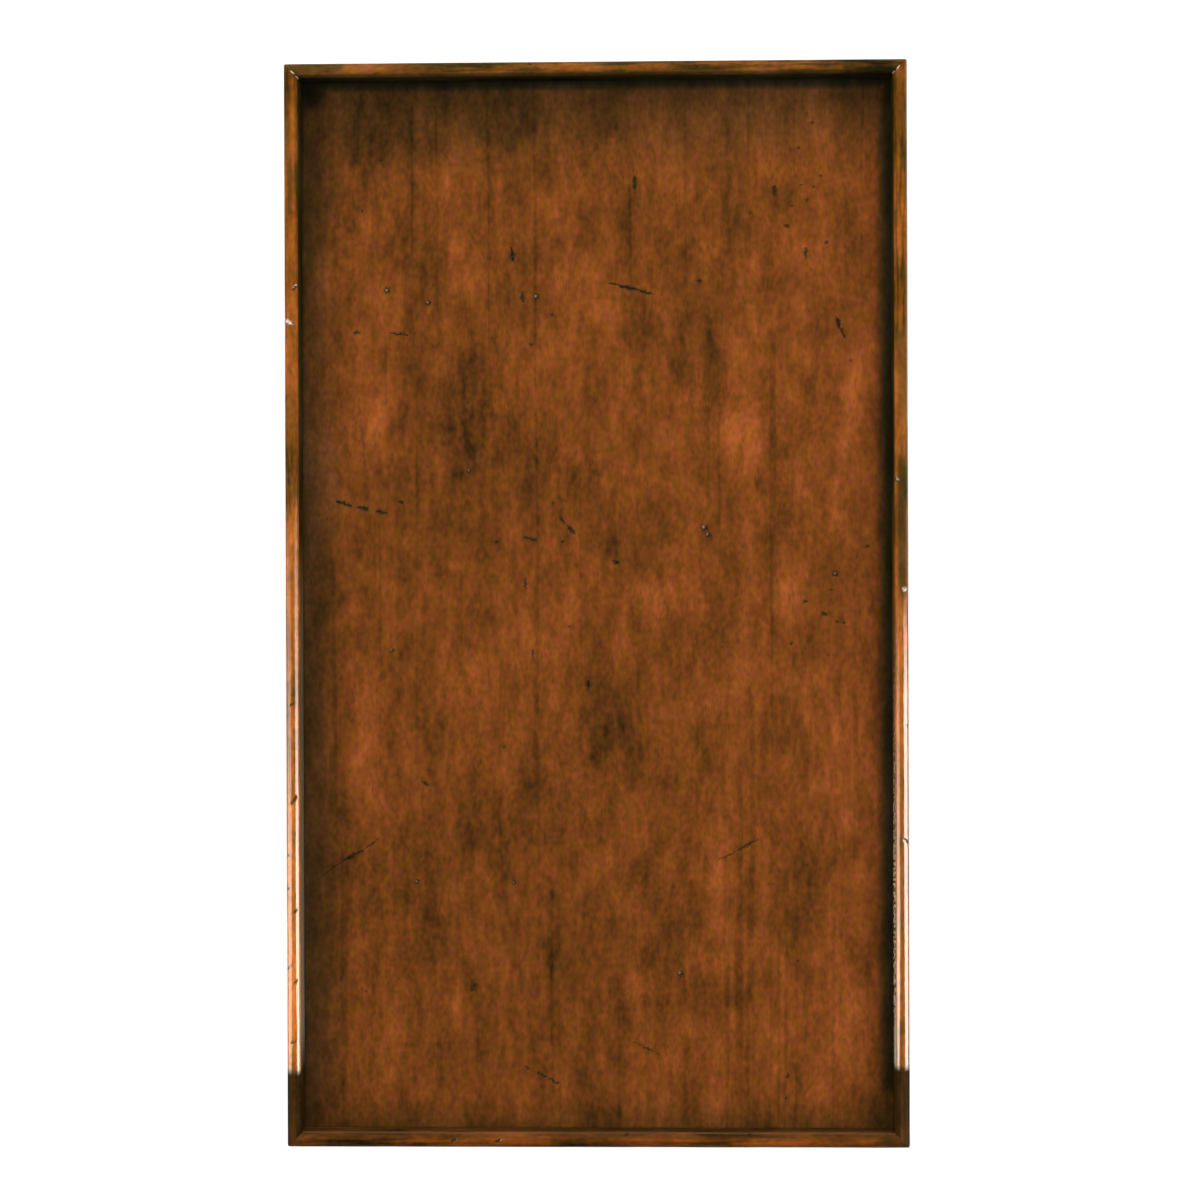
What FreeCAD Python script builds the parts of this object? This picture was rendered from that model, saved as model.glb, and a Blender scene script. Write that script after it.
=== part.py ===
import FreeCAD
import Part
import os

# Chairside chest: a lipped tray top on a post-and-panel case, with dovetailed drawers on bail pulls.
# Millimetres. The origin is on the floor under the middle of the chest, +Z is up,
# and the drawers open towards -Y.

# Tray top
TRAY_WIDTH = 381.0
TRAY_DEPTH = 664.0
TRAY_PANEL = 18.0
TRAY_CORNER = 2.0
LIP_WIDTH = 8.5
LIP_RISE = 18.0
LIP_ARRIS = 2.8
TRAY_TONGUE = 6.0
TRAY_TONGUE_DEPTH = 3.5
OVERHANG = 24.0
COVE = 12.0
COVE_FILLET = 2.5

# Posts and feet
POST = 36.0
POST_ARRIS = 2.0
FOOT = 24.0
FOOT_HEIGHT = 92.0
GLIDE_RADIUS = 9.0
GLIDE_THICKNESS = 4.0
GLIDE_ARRIS = 1.0
NAIL_RADIUS = 1.25
NAIL_LENGTH = 16.0

# Rails, dividers and panels
SETBACK = 2.0
RAIL = 20.0
TOP_RAIL_HEIGHT = 24.0
APRON_HEIGHT = 46.0
ARCH_RISE = 18.0
ARCH_END = 20.0
DIVIDER = 20.0
DIVIDER_DEPTH = 50.0
TENON_LENGTH = 12.0
TENON_SHOULDER = 4.0
SIDE_TONGUE = 6.0
SIDE_GROOVE = 8.0
FIELD_RISE = 6.0
FIELD_MARGIN = 1.5
FIELD_BEVEL = 28.0
BACK_PANEL = 6.0
BACK_RABBET = 10.0

# Drawer openings, runners and stops
UPPER_OPENING = 112.0
MIDDLE_OPENING = 127.0
LOWER_OPENING = 141.0
RUNNER_LEDGE = 16.0
RUNNER_THICKNESS = 18.0
RUNNER_GUIDE = 25.0
STUB_LENGTH = 8.0
STUB_SHOULDER = 4.0
STOP_WIDTH = 36.0
STOP_DEPTH = 22.0
STOP_HEIGHT = 7.0
STOP_SPACING = 140.0
STOP_GAP = 0.3

# Drawers
REAR_SPACE = 36.0
REVEAL = 1.5
RUNNING_GAP = 0.3
FRONT_THICKNESS = 20.0
BEAD_WIDTH = 4.5
BEAD_PROUD = 2.5
BEAD_ARRIS = 1.2
SIDE_THICKNESS = 11.0
SIDE_DROP = 5.0
BACK_THICKNESS = 11.0
BACK_DROP = 3.0
BOTTOM_THICKNESS = 6.0
BOTTOM_RAISE = 12.0
BOTTOM_GROOVE = 5.0
TAIL_LENGTH = 14.0
TAIL_PITCH = 30.0
TAIL_SHARE = 0.62
TAIL_SLOPE = 1 / 7
BUTTON_WIDTH = 36.0
BUTTON_THICKNESS = 10.0
BUTTON_LAP = 22.0
BUTTON_CATCH = 9.0

# Bail pulls
PULL_CENTRES = 64.0
PLATE_WIDTH = 100.0
PLATE_HEIGHT = 40.0
PLATE_THICKNESS = 1.4
PLATE_RIM = 3.5
PLATE_RIM_RISE = 0.8
STEM_RADIUS = 5.0
STEM_LENGTH = 15.0
STEM_ARRIS = 2.0
SHANK_RADIUS = 2.2
NUT_RADIUS = 5.0
NUT_THICKNESS = 4.0
SHANK_END = 1.5
PIVOT_STANDOFF = 10.0
PIN_RADIUS = 1.8
PIN_CLEARANCE = 0.08
KNUCKLE_RADIUS = 3.8
KNUCKLE_LENGTH = 7.0
KNUCKLE_GAP = 0.5
BAIL_RADIUS = 2.6
BAIL_DROP = 30.0
BAIL_BEND = 16.0

# Wood screws
HOLE_CLEARANCE = 0.05
TRAY_SCREW_RADIUS = 2.0
TRAY_SCREW_BITE = 12.0
TRAY_SCREW_HEAD = 4.0
TRAY_SCREW_HEAD_HEIGHT = 2.6
TRAY_SCREW_RECESS = 12.0
TRAY_SCREW_SPACING = 200.0
RECESS_CLEARANCE = 1.0
PANEL_SCREW_RADIUS = 1.6
PANEL_SCREW_BITE = 14.0
PANEL_SCREW_HEAD = 3.5
PANEL_SCREW_HEAD_HEIGHT = 1.8
PANEL_SCREW_INSET = 60.0
BUTTON_SCREW_BITE = 8.0

# Places that follow from the sizes above
CASE_X = TRAY_WIDTH / 2 - OVERHANG
CASE_Y = TRAY_DEPTH / 2 - OVERHANG
INNER_X = CASE_X - POST
INNER_Y = CASE_Y - POST
RAIL_FACE_X = CASE_X - SETBACK
RAIL_BACK_X = RAIL_FACE_X - RAIL
FACE_Y = SETBACK - CASE_Y
RAIL_BACK_Y = FACE_Y + RAIL
DIVIDER_BACK_Y = FACE_Y + DIVIDER_DEPTH
BACK_FACE_Y = CASE_Y - SETBACK
BACK_RAIL_Y = BACK_FACE_Y - BACK_PANEL
LEDGE_X = INNER_X - RUNNER_LEDGE

OPENING = {"upper": UPPER_OPENING, "middle": MIDDLE_OPENING, "lower": LOWER_OPENING}
FOOT_TOP = GLIDE_THICKNESS + FOOT_HEIGHT
APRON_TOP = FOOT_TOP + APRON_HEIGHT
FLOOR = {"lower": APRON_TOP}
FLOOR["middle"] = FLOOR["lower"] + LOWER_OPENING + DIVIDER
FLOOR["upper"] = FLOOR["middle"] + MIDDLE_OPENING + DIVIDER
TOP_RAIL_Z = FLOOR["upper"] + UPPER_OPENING
TRAY_Z = TOP_RAIL_Z + TOP_RAIL_HEIGHT
TRAY_SURFACE_Z = TRAY_Z + TRAY_PANEL
LIP_TOP_Z = TRAY_SURFACE_Z + LIP_RISE

DRAWER_X = INNER_X - REVEAL
DRAWER_INSIDE_X = DRAWER_X - SIDE_THICKNESS
FRONT_BACK_Y = FACE_Y + FRONT_THICKNESS
DRAWER_END_Y = BACK_RAIL_Y - RAIL - REAR_SPACE
DRAWER_BACK_Y = DRAWER_END_Y - BACK_THICKNESS
PLATE_FACE_Y = FACE_Y - PLATE_THICKNESS
PIVOT_Y = PLATE_FACE_Y - PIVOT_STANDOFF

LEFT, RIGHT = -1, 1
FRONT, BACK = -1, 1
SIDES = {"left": LEFT, "right": RIGHT}


# Basic shapes
def vector(x, y, z):
    return FreeCAD.Vector(x, y, z)


def box(x, y, z):
    """A block between two values on each axis, given in either order."""
    low = [min(pair) for pair in (x, y, z)]
    size = [abs(pair[1] - pair[0]) for pair in (x, y, z)]
    return Part.makeBox(*size, vector(*low))


def prism(points, travel):
    """A polygon swept along a straight line."""
    outline = [vector(*point) for point in points]
    return Part.Face(Part.makePolygon(outline + outline[:1])).extrude(vector(*travel))


def rod(radius, start, travel):
    """A round rod from a point along a vector."""
    direction = vector(*travel)
    return Part.makeCylinder(radius, direction.Length, vector(*start), direction)


def joined(first, *others):
    return first.fuse(list(others)).removeSplitter()


def edges_along(shape, axis):
    """The edges whose ends differ mostly along one axis."""
    found = []
    for edge in shape.Edges:
        span = edge.lastVertex().Point - edge.firstVertex().Point
        if span.Length > 0 and abs(span[axis]) > 0.9 * span.Length:
            found.append(edge)
    return found


def screw(radius, head_radius, head_height, seat, travel):
    """A pan-head wood screw whose head rests on the seat point, and the hole that its shank needs."""
    along = vector(*travel)
    back = along * (-head_height / along.Length)
    head = rod(head_radius, seat, tuple(back))
    shank = rod(radius, seat, travel)
    hole = rod(radius + HOLE_CLEARANCE, seat, travel)
    return joined(head, shank), hole


# Tray top
def mitred_strip(section, reach, half_length, turn):
    """A moulding along the front of a rectangle, mitred at both ends, then turned to its own side.

    section maps (distance inwards from the outer face, height) to a closed face; reach is how far the
    outer face stands from the middle and half_length how far the outer corners stand to each side."""
    strip = section(-half_length, -reach).extrude(vector(2 * half_length, 0, 0))
    bounds = strip.BoundBox
    inward = bounds.YLength
    corners = [
        (-half_length, -reach, bounds.ZMin),
        (half_length, -reach, bounds.ZMin),
        (half_length - inward, -reach + inward, bounds.ZMin),
        (-half_length + inward, -reach + inward, bounds.ZMin),
    ]
    strip = strip.common(prism(corners, (0, 0, bounds.ZLength)))
    strip.rotate(vector(0, 0, 0), vector(0, 0, 1), turn)
    return strip


def lip_section(x, y):
    """The lip's section: a tall strip with both upper edges rounded."""
    inner = y + LIP_WIDTH
    shoulder = LIP_TOP_Z - LIP_ARRIS
    slant = LIP_ARRIS * (1 - 0.5**0.5)
    edges = [
        Part.LineSegment(vector(x, inner, TRAY_Z), vector(x, y, TRAY_Z)),
        Part.LineSegment(vector(x, y, TRAY_Z), vector(x, y, shoulder)),
        Part.Arc(
            vector(x, y, shoulder),
            vector(x, y + slant, LIP_TOP_Z - slant),
            vector(x, y + LIP_ARRIS, LIP_TOP_Z),
        ),
        Part.LineSegment(vector(x, y + LIP_ARRIS, LIP_TOP_Z), vector(x, inner - LIP_ARRIS, LIP_TOP_Z)),
        Part.Arc(
            vector(x, inner - LIP_ARRIS, LIP_TOP_Z),
            vector(x, inner - slant, LIP_TOP_Z - slant),
            vector(x, inner, shoulder),
        ),
        Part.LineSegment(vector(x, inner, shoulder), vector(x, inner, TRAY_Z)),
    ]
    return Part.Face(Part.Wire([edge.toShape() for edge in edges]))


def cove_section(x, y):
    """The cove's section: a hollow quarter round between two small flats, under the tray."""
    inner = y + COVE
    hollow = COVE - COVE_FILLET
    low = TRAY_Z - COVE
    slant = hollow * (1 - 0.5**0.5)
    edges = [
        Part.LineSegment(vector(x, y, TRAY_Z), vector(x, inner, TRAY_Z)),
        Part.LineSegment(vector(x, inner, TRAY_Z), vector(x, inner, low)),
        Part.LineSegment(vector(x, inner, low), vector(x, inner - COVE_FILLET, low)),
        Part.Arc(
            vector(x, inner - COVE_FILLET, low),
            vector(x, y + hollow - slant, low + hollow - slant),
            vector(x, y, low + hollow),
        ),
        Part.LineSegment(vector(x, y, low + hollow), vector(x, y, TRAY_Z)),
    ]
    return Part.Face(Part.Wire([edge.toShape() for edge in edges]))


def tray_panel():
    """The tray's board, with a tongue all round that the lips are glued to."""
    x = TRAY_WIDTH / 2 - LIP_WIDTH
    y = TRAY_DEPTH / 2 - LIP_WIDTH
    tongue_z = TRAY_Z + (TRAY_PANEL - TRAY_TONGUE) / 2
    board = box((-x, x), (-y, y), (TRAY_Z, TRAY_SURFACE_Z))
    tongue = box(
        (-x - TRAY_TONGUE_DEPTH, x + TRAY_TONGUE_DEPTH),
        (-y - TRAY_TONGUE_DEPTH, y + TRAY_TONGUE_DEPTH),
        (tongue_z, tongue_z + TRAY_TONGUE),
    )
    return joined(board, tongue)


def tray_lips(panel):
    """Four lips around the panel, mitred at eased corners."""
    half_x = TRAY_WIDTH / 2
    half_y = TRAY_DEPTH / 2
    outline = box((-half_x, half_x), (-half_y, half_y), (TRAY_Z, LIP_TOP_Z))
    outline = outline.makeFillet(TRAY_CORNER, edges_along(outline, 2))
    places = {
        "front": (half_y, half_x, 0),
        "right": (half_x, half_y, 90),
        "back": (half_y, half_x, 180),
        "left": (half_x, half_y, 270),
    }
    lips = {}
    for name, (reach, half_length, turn) in places.items():
        strip = mitred_strip(lip_section, reach, half_length, turn)
        lips[f"tray_lip_{name}"] = strip.common(outline).cut(panel)
    return lips


def cove_moulding():
    """The cove under the tray, four mitred lengths."""
    reach_x = CASE_X + COVE
    reach_y = CASE_Y + COVE
    lengths = [
        mitred_strip(cove_section, reach_y, reach_x, 0),
        mitred_strip(cove_section, reach_x, reach_y, 90),
        mitred_strip(cove_section, reach_y, reach_x, 180),
        mitred_strip(cove_section, reach_x, reach_y, 270),
    ]
    return Part.makeCompound(lengths)


# Posts, rails and panels
def post(side, end):
    """A corner post whose foot tapers on its two inner faces."""
    outer_x, inner_x = side * CASE_X, side * INNER_X
    outer_y, inner_y = end * CASE_Y, end * INNER_Y
    foot_x = outer_x - side * FOOT
    foot_y = outer_y - end * FOOT
    seen_from_front = [
        (outer_x, outer_y, GLIDE_THICKNESS),
        (outer_x, outer_y, TRAY_Z),
        (inner_x, outer_y, TRAY_Z),
        (inner_x, outer_y, FOOT_TOP),
        (foot_x, outer_y, GLIDE_THICKNESS),
    ]
    seen_from_side = [
        (outer_x, outer_y, GLIDE_THICKNESS),
        (outer_x, outer_y, TRAY_Z),
        (outer_x, inner_y, TRAY_Z),
        (outer_x, inner_y, FOOT_TOP),
        (outer_x, foot_y, GLIDE_THICKNESS),
    ]
    blank = prism(seen_from_front, (0, -end * POST, 0))
    blank = blank.common(prism(seen_from_side, (-side * POST, 0, 0)))
    return blank.makeFillet(POST_ARRIS, edges_along(blank, 2))


def cross_rail(y, z, tenon_y):
    """A board between a left and a right post, with a stub tenon at each end."""
    reach = INNER_X + TENON_LENGTH
    board = box((-INNER_X, INNER_X), y, z)
    tenon = box(
        (-reach, reach),
        (tenon_y[0] + TENON_SHOULDER, tenon_y[1] - TENON_SHOULDER),
        (z[0] + TENON_SHOULDER, z[1] - TENON_SHOULDER),
    )
    return joined(board, tenon)


def side_rail(side, z):
    """A board between a front and a back post, with a stub tenon at each end."""
    reach = INNER_Y + TENON_LENGTH
    board = box((side * RAIL_BACK_X, side * RAIL_FACE_X), (-INNER_Y, INNER_Y), z)
    tenon = box(
        (side * (RAIL_BACK_X + TENON_SHOULDER), side * (RAIL_FACE_X - TENON_SHOULDER)),
        (-reach, reach),
        (z[0] + TENON_SHOULDER, z[1] - TENON_SHOULDER),
    )
    return joined(board, tenon)


def arch(half_span, place, travel):
    """The hollow under an arched apron: place turns (along, height) into a point."""
    half = half_span - ARCH_END
    below = FOOT_TOP - ARCH_RISE
    spring = [place(-half, FOOT_TOP), place(half, FOOT_TOP)]
    floor = [place(half, below), place(-half, below)]
    crown = place(0, FOOT_TOP + ARCH_RISE)
    edges = [
        Part.Arc(vector(*spring[0]), vector(*crown), vector(*spring[1])),
        Part.LineSegment(vector(*spring[1]), vector(*floor[0])),
        Part.LineSegment(vector(*floor[0]), vector(*floor[1])),
        Part.LineSegment(vector(*floor[1]), vector(*spring[0])),
    ]
    wire = Part.Wire([edge.toShape() for edge in edges])
    return Part.Face(wire).extrude(vector(*travel))


def front_apron():
    blank = cross_rail((FACE_Y, RAIL_BACK_Y), (FOOT_TOP, APRON_TOP), (FACE_Y, RAIL_BACK_Y))
    return blank.cut(arch(INNER_X, lambda along, z: (along, FACE_Y, z), (0, RAIL, 0)))


def side_apron(side):
    blank = side_rail(side, (FOOT_TOP, APRON_TOP))
    face = side * RAIL_FACE_X
    return blank.cut(arch(INNER_Y, lambda along, z: (face, along, z), (-side * RAIL, 0, 0)))


def raised_panel(side):
    """A fielded side panel: a thin tongue in the frame's grooves and a bevelled field in the middle."""
    middle = (RAIL_BACK_X + RAIL_FACE_X) / 2
    back = side * (middle - SIDE_TONGUE / 2)
    face = side * (middle + SIDE_TONGUE / 2)
    field = face + side * FIELD_RISE
    y, low, high = INNER_Y, APRON_TOP, TOP_RAIL_Z
    tongue = box((back, face), (-y - SIDE_GROOVE, y + SIDE_GROOVE), (low - SIDE_GROOVE, high + SIDE_GROOVE))
    outlines = []
    for x, inset in ((face, FIELD_MARGIN), (field, FIELD_MARGIN + FIELD_BEVEL)):
        corners = [
            vector(x, -y + inset, low + inset),
            vector(x, y - inset, low + inset),
            vector(x, y - inset, high - inset),
            vector(x, -y + inset, high - inset),
        ]
        outlines.append(Part.makePolygon(corners + corners[:1]))
    return joined(tongue, Part.makeLoft(outlines, True, True))


def back_board(face):
    """A board behind the back rails, as wide as the rabbets in the back posts."""
    x = INNER_X + BACK_RABBET
    return box((-x, x), (BACK_RAIL_Y, face), (FOOT_TOP, TRAY_Z))


def back_screw_places():
    """Where the back panel is screwed: up both posts and at the middle of its two rails."""
    x = INNER_X + BACK_RABBET / 2
    low = FOOT_TOP + PANEL_SCREW_INSET
    high = TRAY_Z - PANEL_SCREW_INSET
    heights = [low, (low + high) / 2, high]
    places = [(side * x, z) for side in (LEFT, RIGHT) for z in heights]
    places.append((0, FOOT_TOP + APRON_HEIGHT / 2))
    places.append((0, TRAY_Z - TOP_RAIL_HEIGHT / 2))
    return places


def foot_glide(side, end):
    """A nylon glide with the nail that holds it in the foot."""
    x = side * (CASE_X - FOOT / 2)
    y = end * (CASE_Y - FOOT / 2)
    disc = rod(GLIDE_RADIUS, (x, y, 0), (0, 0, GLIDE_THICKNESS))
    rim = [edge for edge in disc.Edges if edge.BoundBox.ZMax < GLIDE_THICKNESS / 2]
    disc = disc.makeChamfer(GLIDE_ARRIS, rim)
    nail = (x, y, GLIDE_THICKNESS)
    hole = rod(NAIL_RADIUS + HOLE_CLEARANCE, nail, (0, 0, NAIL_LENGTH))
    return joined(disc, rod(NAIL_RADIUS, nail, (0, 0, NAIL_LENGTH))), hole


# Runners, kickers and stops
def runner(side, floor):
    """An L-shaped runner: a ledge under the drawer's side and a guide beside it, tenoned at both ends."""
    inner, guide, outer = side * LEDGE_X, side * INNER_X, side * RAIL_BACK_X
    under = floor - RUNNER_THICKNESS
    top = floor + RUNNER_GUIDE
    ledge = box((inner, guide), (DIVIDER_BACK_Y, INNER_Y), (under, floor))
    web = box((guide, outer), (-INNER_Y, INNER_Y), (under, top))
    end_tenon = box(
        (guide + side * STUB_SHOULDER, outer - side * STUB_SHOULDER),
        (-INNER_Y - STUB_LENGTH, INNER_Y + STUB_LENGTH),
        (floor + STUB_SHOULDER, top - STUB_SHOULDER),
    )
    front_tenon = box(
        (inner + side * STUB_SHOULDER, guide - side * STUB_SHOULDER),
        (DIVIDER_BACK_Y - STUB_LENGTH, DIVIDER_BACK_Y),
        (under + STUB_SHOULDER, floor - STUB_SHOULDER),
    )
    return joined(ledge, web, end_tenon, front_tenon)


def kicker(side):
    """A board over the top drawer's side, which also takes the tray's screws."""
    inner, guide, outer = side * LEDGE_X, side * INNER_X, side * RAIL_BACK_X
    z = (TOP_RAIL_Z, TRAY_Z)
    return joined(
        box((inner, guide), (DIVIDER_BACK_Y, INNER_Y), z),
        box((guide, outer), (-INNER_Y, INNER_Y), z),
    )


def tray_screws(side):
    """The screws of one kicker, their shank holes and the recesses for their heads."""
    x = side * (LEDGE_X + RAIL_BACK_X) / 2
    seat_z = TOP_RAIL_Z + TRAY_SCREW_RECESS
    length = TRAY_Z - seat_z + TRAY_SCREW_BITE
    screws, holes, recesses = [], [], []
    for step in (-1, 0, 1):
        seat = (x, step * TRAY_SCREW_SPACING, seat_z)
        made, hole = screw(
            TRAY_SCREW_RADIUS, TRAY_SCREW_HEAD, TRAY_SCREW_HEAD_HEIGHT, seat, (0, 0, length)
        )
        screws.append(made)
        holes.append(hole)
        recesses.append(rod(TRAY_SCREW_HEAD + RECESS_CLEARANCE, seat, (0, 0, -TRAY_SCREW_RECESS)))
    return screws, holes, recesses


def drawer_stop(side, floor):
    """A block on the divider that the back of a closed drawer front meets."""
    x = side * STOP_SPACING / 2
    start = FRONT_BACK_Y + STOP_GAP
    return box(
        (x - STOP_WIDTH / 2, x + STOP_WIDTH / 2),
        (start, start + STOP_DEPTH),
        (floor, floor + STOP_HEIGHT),
    )


# Drawers
def dovetail_row(side, shoulder_y, end_y, low, high):
    """A row of tails on the end of a drawer side, widening from the shoulder to the end."""
    count = max(2, round((high - low) / TAIL_PITCH))
    pitch = (high - low) / count
    wide = TAIL_SHARE * pitch / 2
    narrow = wide - abs(end_y - shoulder_y) * TAIL_SLOPE
    inside = side * DRAWER_INSIDE_X
    tails = []
    for index in range(count):
        middle = low + (index + 0.5) * pitch
        points = [
            (inside, shoulder_y, middle - narrow),
            (inside, end_y, middle - wide),
            (inside, end_y, middle + wide),
            (inside, shoulder_y, middle + narrow),
        ]
        tails.append(prism(points, (side * SIDE_THICKNESS, 0, 0)))
    return tails


def drawer_heights(level):
    """The heights that the boards of one drawer share."""
    floor = FLOOR[level]
    ceiling = floor + OPENING[level]
    low = floor + RUNNING_GAP
    bottom = low + BOTTOM_RAISE
    return {
        "front": (floor + REVEAL, ceiling - REVEAL),
        "side": (low, ceiling - SIDE_DROP),
        "bottom": (bottom, bottom + BOTTOM_THICKNESS),
        "back": (bottom + BOTTOM_THICKNESS, ceiling - SIDE_DROP - BACK_DROP),
        "button": (ceiling - SIDE_DROP - BACK_DROP - BUTTON_LAP, ceiling + BUTTON_CATCH),
    }


def drawer_front(heights):
    """A drawer front with a rounded bead proud of its face, all round its edge."""
    low, high = heights["front"]
    x = (-DRAWER_X, DRAWER_X)
    proud = FACE_Y - BEAD_PROUD
    field = box(
        (x[0] + BEAD_WIDTH, x[1] - BEAD_WIDTH), (proud, FACE_Y), (low + BEAD_WIDTH, high - BEAD_WIDTH)
    )
    blank = box(x, (proud, FRONT_BACK_Y), (low, high)).cut(field)
    crest = [edge for edge in blank.Edges if edge.BoundBox.YMax < proud + BEAD_ARRIS / 2]
    return blank.makeFillet(BEAD_ARRIS, crest)


def drawer_side(side, heights):
    """A drawer side with tails into the front and through the back."""
    low, high = heights["side"]
    back_low, back_high = heights["back"]
    x = (side * DRAWER_INSIDE_X, side * DRAWER_X)
    plate = box(x, (FRONT_BACK_Y, DRAWER_END_Y), (low, high))
    plate = plate.cut(box(x, (DRAWER_BACK_Y, DRAWER_END_Y), (back_low, back_high)))
    front_low, front_high = heights["front"]
    socket_end = FRONT_BACK_Y - TAIL_LENGTH
    front_tails = dovetail_row(side, FRONT_BACK_Y, socket_end, front_low, min(high, front_high))
    back_tails = dovetail_row(side, DRAWER_BACK_Y, DRAWER_END_Y, back_low, back_high)
    return joined(plate, *front_tails, *back_tails)


def turn_button(heights):
    """A wooden stop on the drawer's back that catches the rail above, with its screw."""
    low, high = heights["button"]
    half = BUTTON_WIDTH / 2
    face = DRAWER_BACK_Y - BUTTON_THICKNESS
    seat = (0, face, low + BUTTON_LAP / 2)
    block = box((-half, half), (face, DRAWER_BACK_Y), (low, high))
    made, hole = screw(
        PANEL_SCREW_RADIUS,
        PANEL_SCREW_HEAD,
        PANEL_SCREW_HEAD_HEIGHT,
        seat,
        (0, BUTTON_THICKNESS + BUTTON_SCREW_BITE, 0),
    )
    return Part.makeCompound([block.cut(hole), made]), hole


# Bail pulls
def oval(half_width, half_height, y, z):
    curve = Part.Ellipse(
        vector(half_width, y, z), vector(0, y, z + half_height), vector(0, y, z)
    )
    return Part.Face(Part.Wire([curve.toShape()]))


def pull_plate(z, holes):
    """An oval back plate with a raised rim."""
    half_width, half_height = PLATE_WIDTH / 2, PLATE_HEIGHT / 2
    plate = oval(half_width, half_height, FACE_Y, z).extrude(vector(0, -PLATE_THICKNESS, 0))
    rim_travel = vector(0, -PLATE_RIM_RISE, 0)
    rim = oval(half_width, half_height, PLATE_FACE_Y, z).extrude(rim_travel)
    dish = oval(half_width - PLATE_RIM, half_height - PLATE_RIM, PLATE_FACE_Y, z).extrude(rim_travel)
    return joined(plate, rim.cut(dish)).cut(holes)


def pull_posts(z):
    """Two posts with threaded shanks through the drawer front, their nuts, and the holes for the shanks."""
    solids, holes = [], []
    shank_length = PLATE_THICKNESS + FRONT_THICKNESS + NUT_THICKNESS + SHANK_END
    for side in (LEFT, RIGHT):
        x = side * PULL_CENTRES / 2
        stem = rod(STEM_RADIUS, (x, PLATE_FACE_Y, z), (0, -STEM_LENGTH, 0))
        nose = [edge for edge in stem.Edges if edge.BoundBox.YMax < PLATE_FACE_Y - STEM_LENGTH / 2]
        stem = stem.makeFillet(STEM_ARRIS, nose)
        shank = rod(SHANK_RADIUS, (x, PLATE_FACE_Y, z), (0, shank_length, 0))
        hole = rod(SHANK_RADIUS + HOLE_CLEARANCE, (x, PLATE_FACE_Y, z), (0, shank_length, 0))
        eye = rod(
            PIN_RADIUS + PIN_CLEARANCE, (x - STEM_RADIUS, PIVOT_Y, z), (2 * STEM_RADIUS, 0, 0)
        )
        nut = rod(NUT_RADIUS, (x, FRONT_BACK_Y, z), (0, NUT_THICKNESS, 0))
        solids += [joined(stem, shank).cut(eye), nut.cut(hole)]
        holes.append(hole)
    return Part.makeCompound(solids), holes


def pull_bail(z):
    """The swinging handle: a bent rod with a knuckle and a pivot pin at each end."""
    knuckle_x = PULL_CENTRES / 2 + STEM_RADIUS + KNUCKLE_GAP
    arm_x = knuckle_x + KNUCKLE_LENGTH / 2
    low = z - BAIL_DROP
    turn_z = low + BAIL_BEND
    turn_x = arm_x - BAIL_BEND
    slant = BAIL_BEND * 0.5**0.5

    def at(x, height):
        return vector(x, PIVOT_Y, height)

    path = [
        Part.LineSegment(at(-arm_x, z), at(-arm_x, turn_z)),
        Part.Arc(at(-arm_x, turn_z), at(-turn_x - slant, turn_z - slant), at(-turn_x, low)),
        Part.LineSegment(at(-turn_x, low), at(turn_x, low)),
        Part.Arc(at(turn_x, low), at(turn_x + slant, turn_z - slant), at(arm_x, turn_z)),
        Part.LineSegment(at(arm_x, turn_z), at(arm_x, z)),
    ]
    section = Part.Wire([Part.makeCircle(BAIL_RADIUS, at(-arm_x, z), vector(0, 0, -1))])
    grip = Part.Wire([edge.toShape() for edge in path]).makePipeShell([section], True, False)
    ends = []
    for side in (LEFT, RIGHT):
        knuckle = (side * knuckle_x, PIVOT_Y, z)
        ends.append(rod(KNUCKLE_RADIUS, knuckle, (side * KNUCKLE_LENGTH, 0, 0)))
        pin_length = 2 * STEM_RADIUS + KNUCKLE_GAP
        ends.append(rod(PIN_RADIUS, knuckle, (-side * pin_length, 0, 0)))
    return joined(grip, *ends)


def drawer(level):
    """All the pieces of one drawer and of its pull."""
    heights = drawer_heights(level)
    pull_z = sum(heights["front"]) / 2
    posts, shank_holes = pull_posts(pull_z)
    button, button_hole = turn_button(heights)
    groove_x = DRAWER_INSIDE_X + BOTTOM_GROOVE
    bottom = box(
        (-groove_x, groove_x), (FRONT_BACK_Y - BOTTOM_GROOVE, DRAWER_END_Y), heights["bottom"]
    )
    sides = {name: drawer_side(side, heights).cut(bottom) for name, side in SIDES.items()}
    back = box((-DRAWER_X, DRAWER_X), (DRAWER_BACK_Y, DRAWER_END_Y), heights["back"])
    boards = list(sides.values())
    return {
        f"{level}_drawer_front": drawer_front(heights).cut(boards + [bottom] + shank_holes),
        f"{level}_drawer_left_side": sides["left"],
        f"{level}_drawer_right_side": sides["right"],
        f"{level}_drawer_back": back.cut(boards + [button_hole]),
        f"{level}_drawer_bottom": bottom,
        f"{level}_drawer_turn_button": button,
        f"{level}_pull_plate": pull_plate(pull_z, shank_holes),
        f"{level}_pull_posts": posts,
        f"{level}_pull_bail": pull_bail(pull_z),
    }


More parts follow.
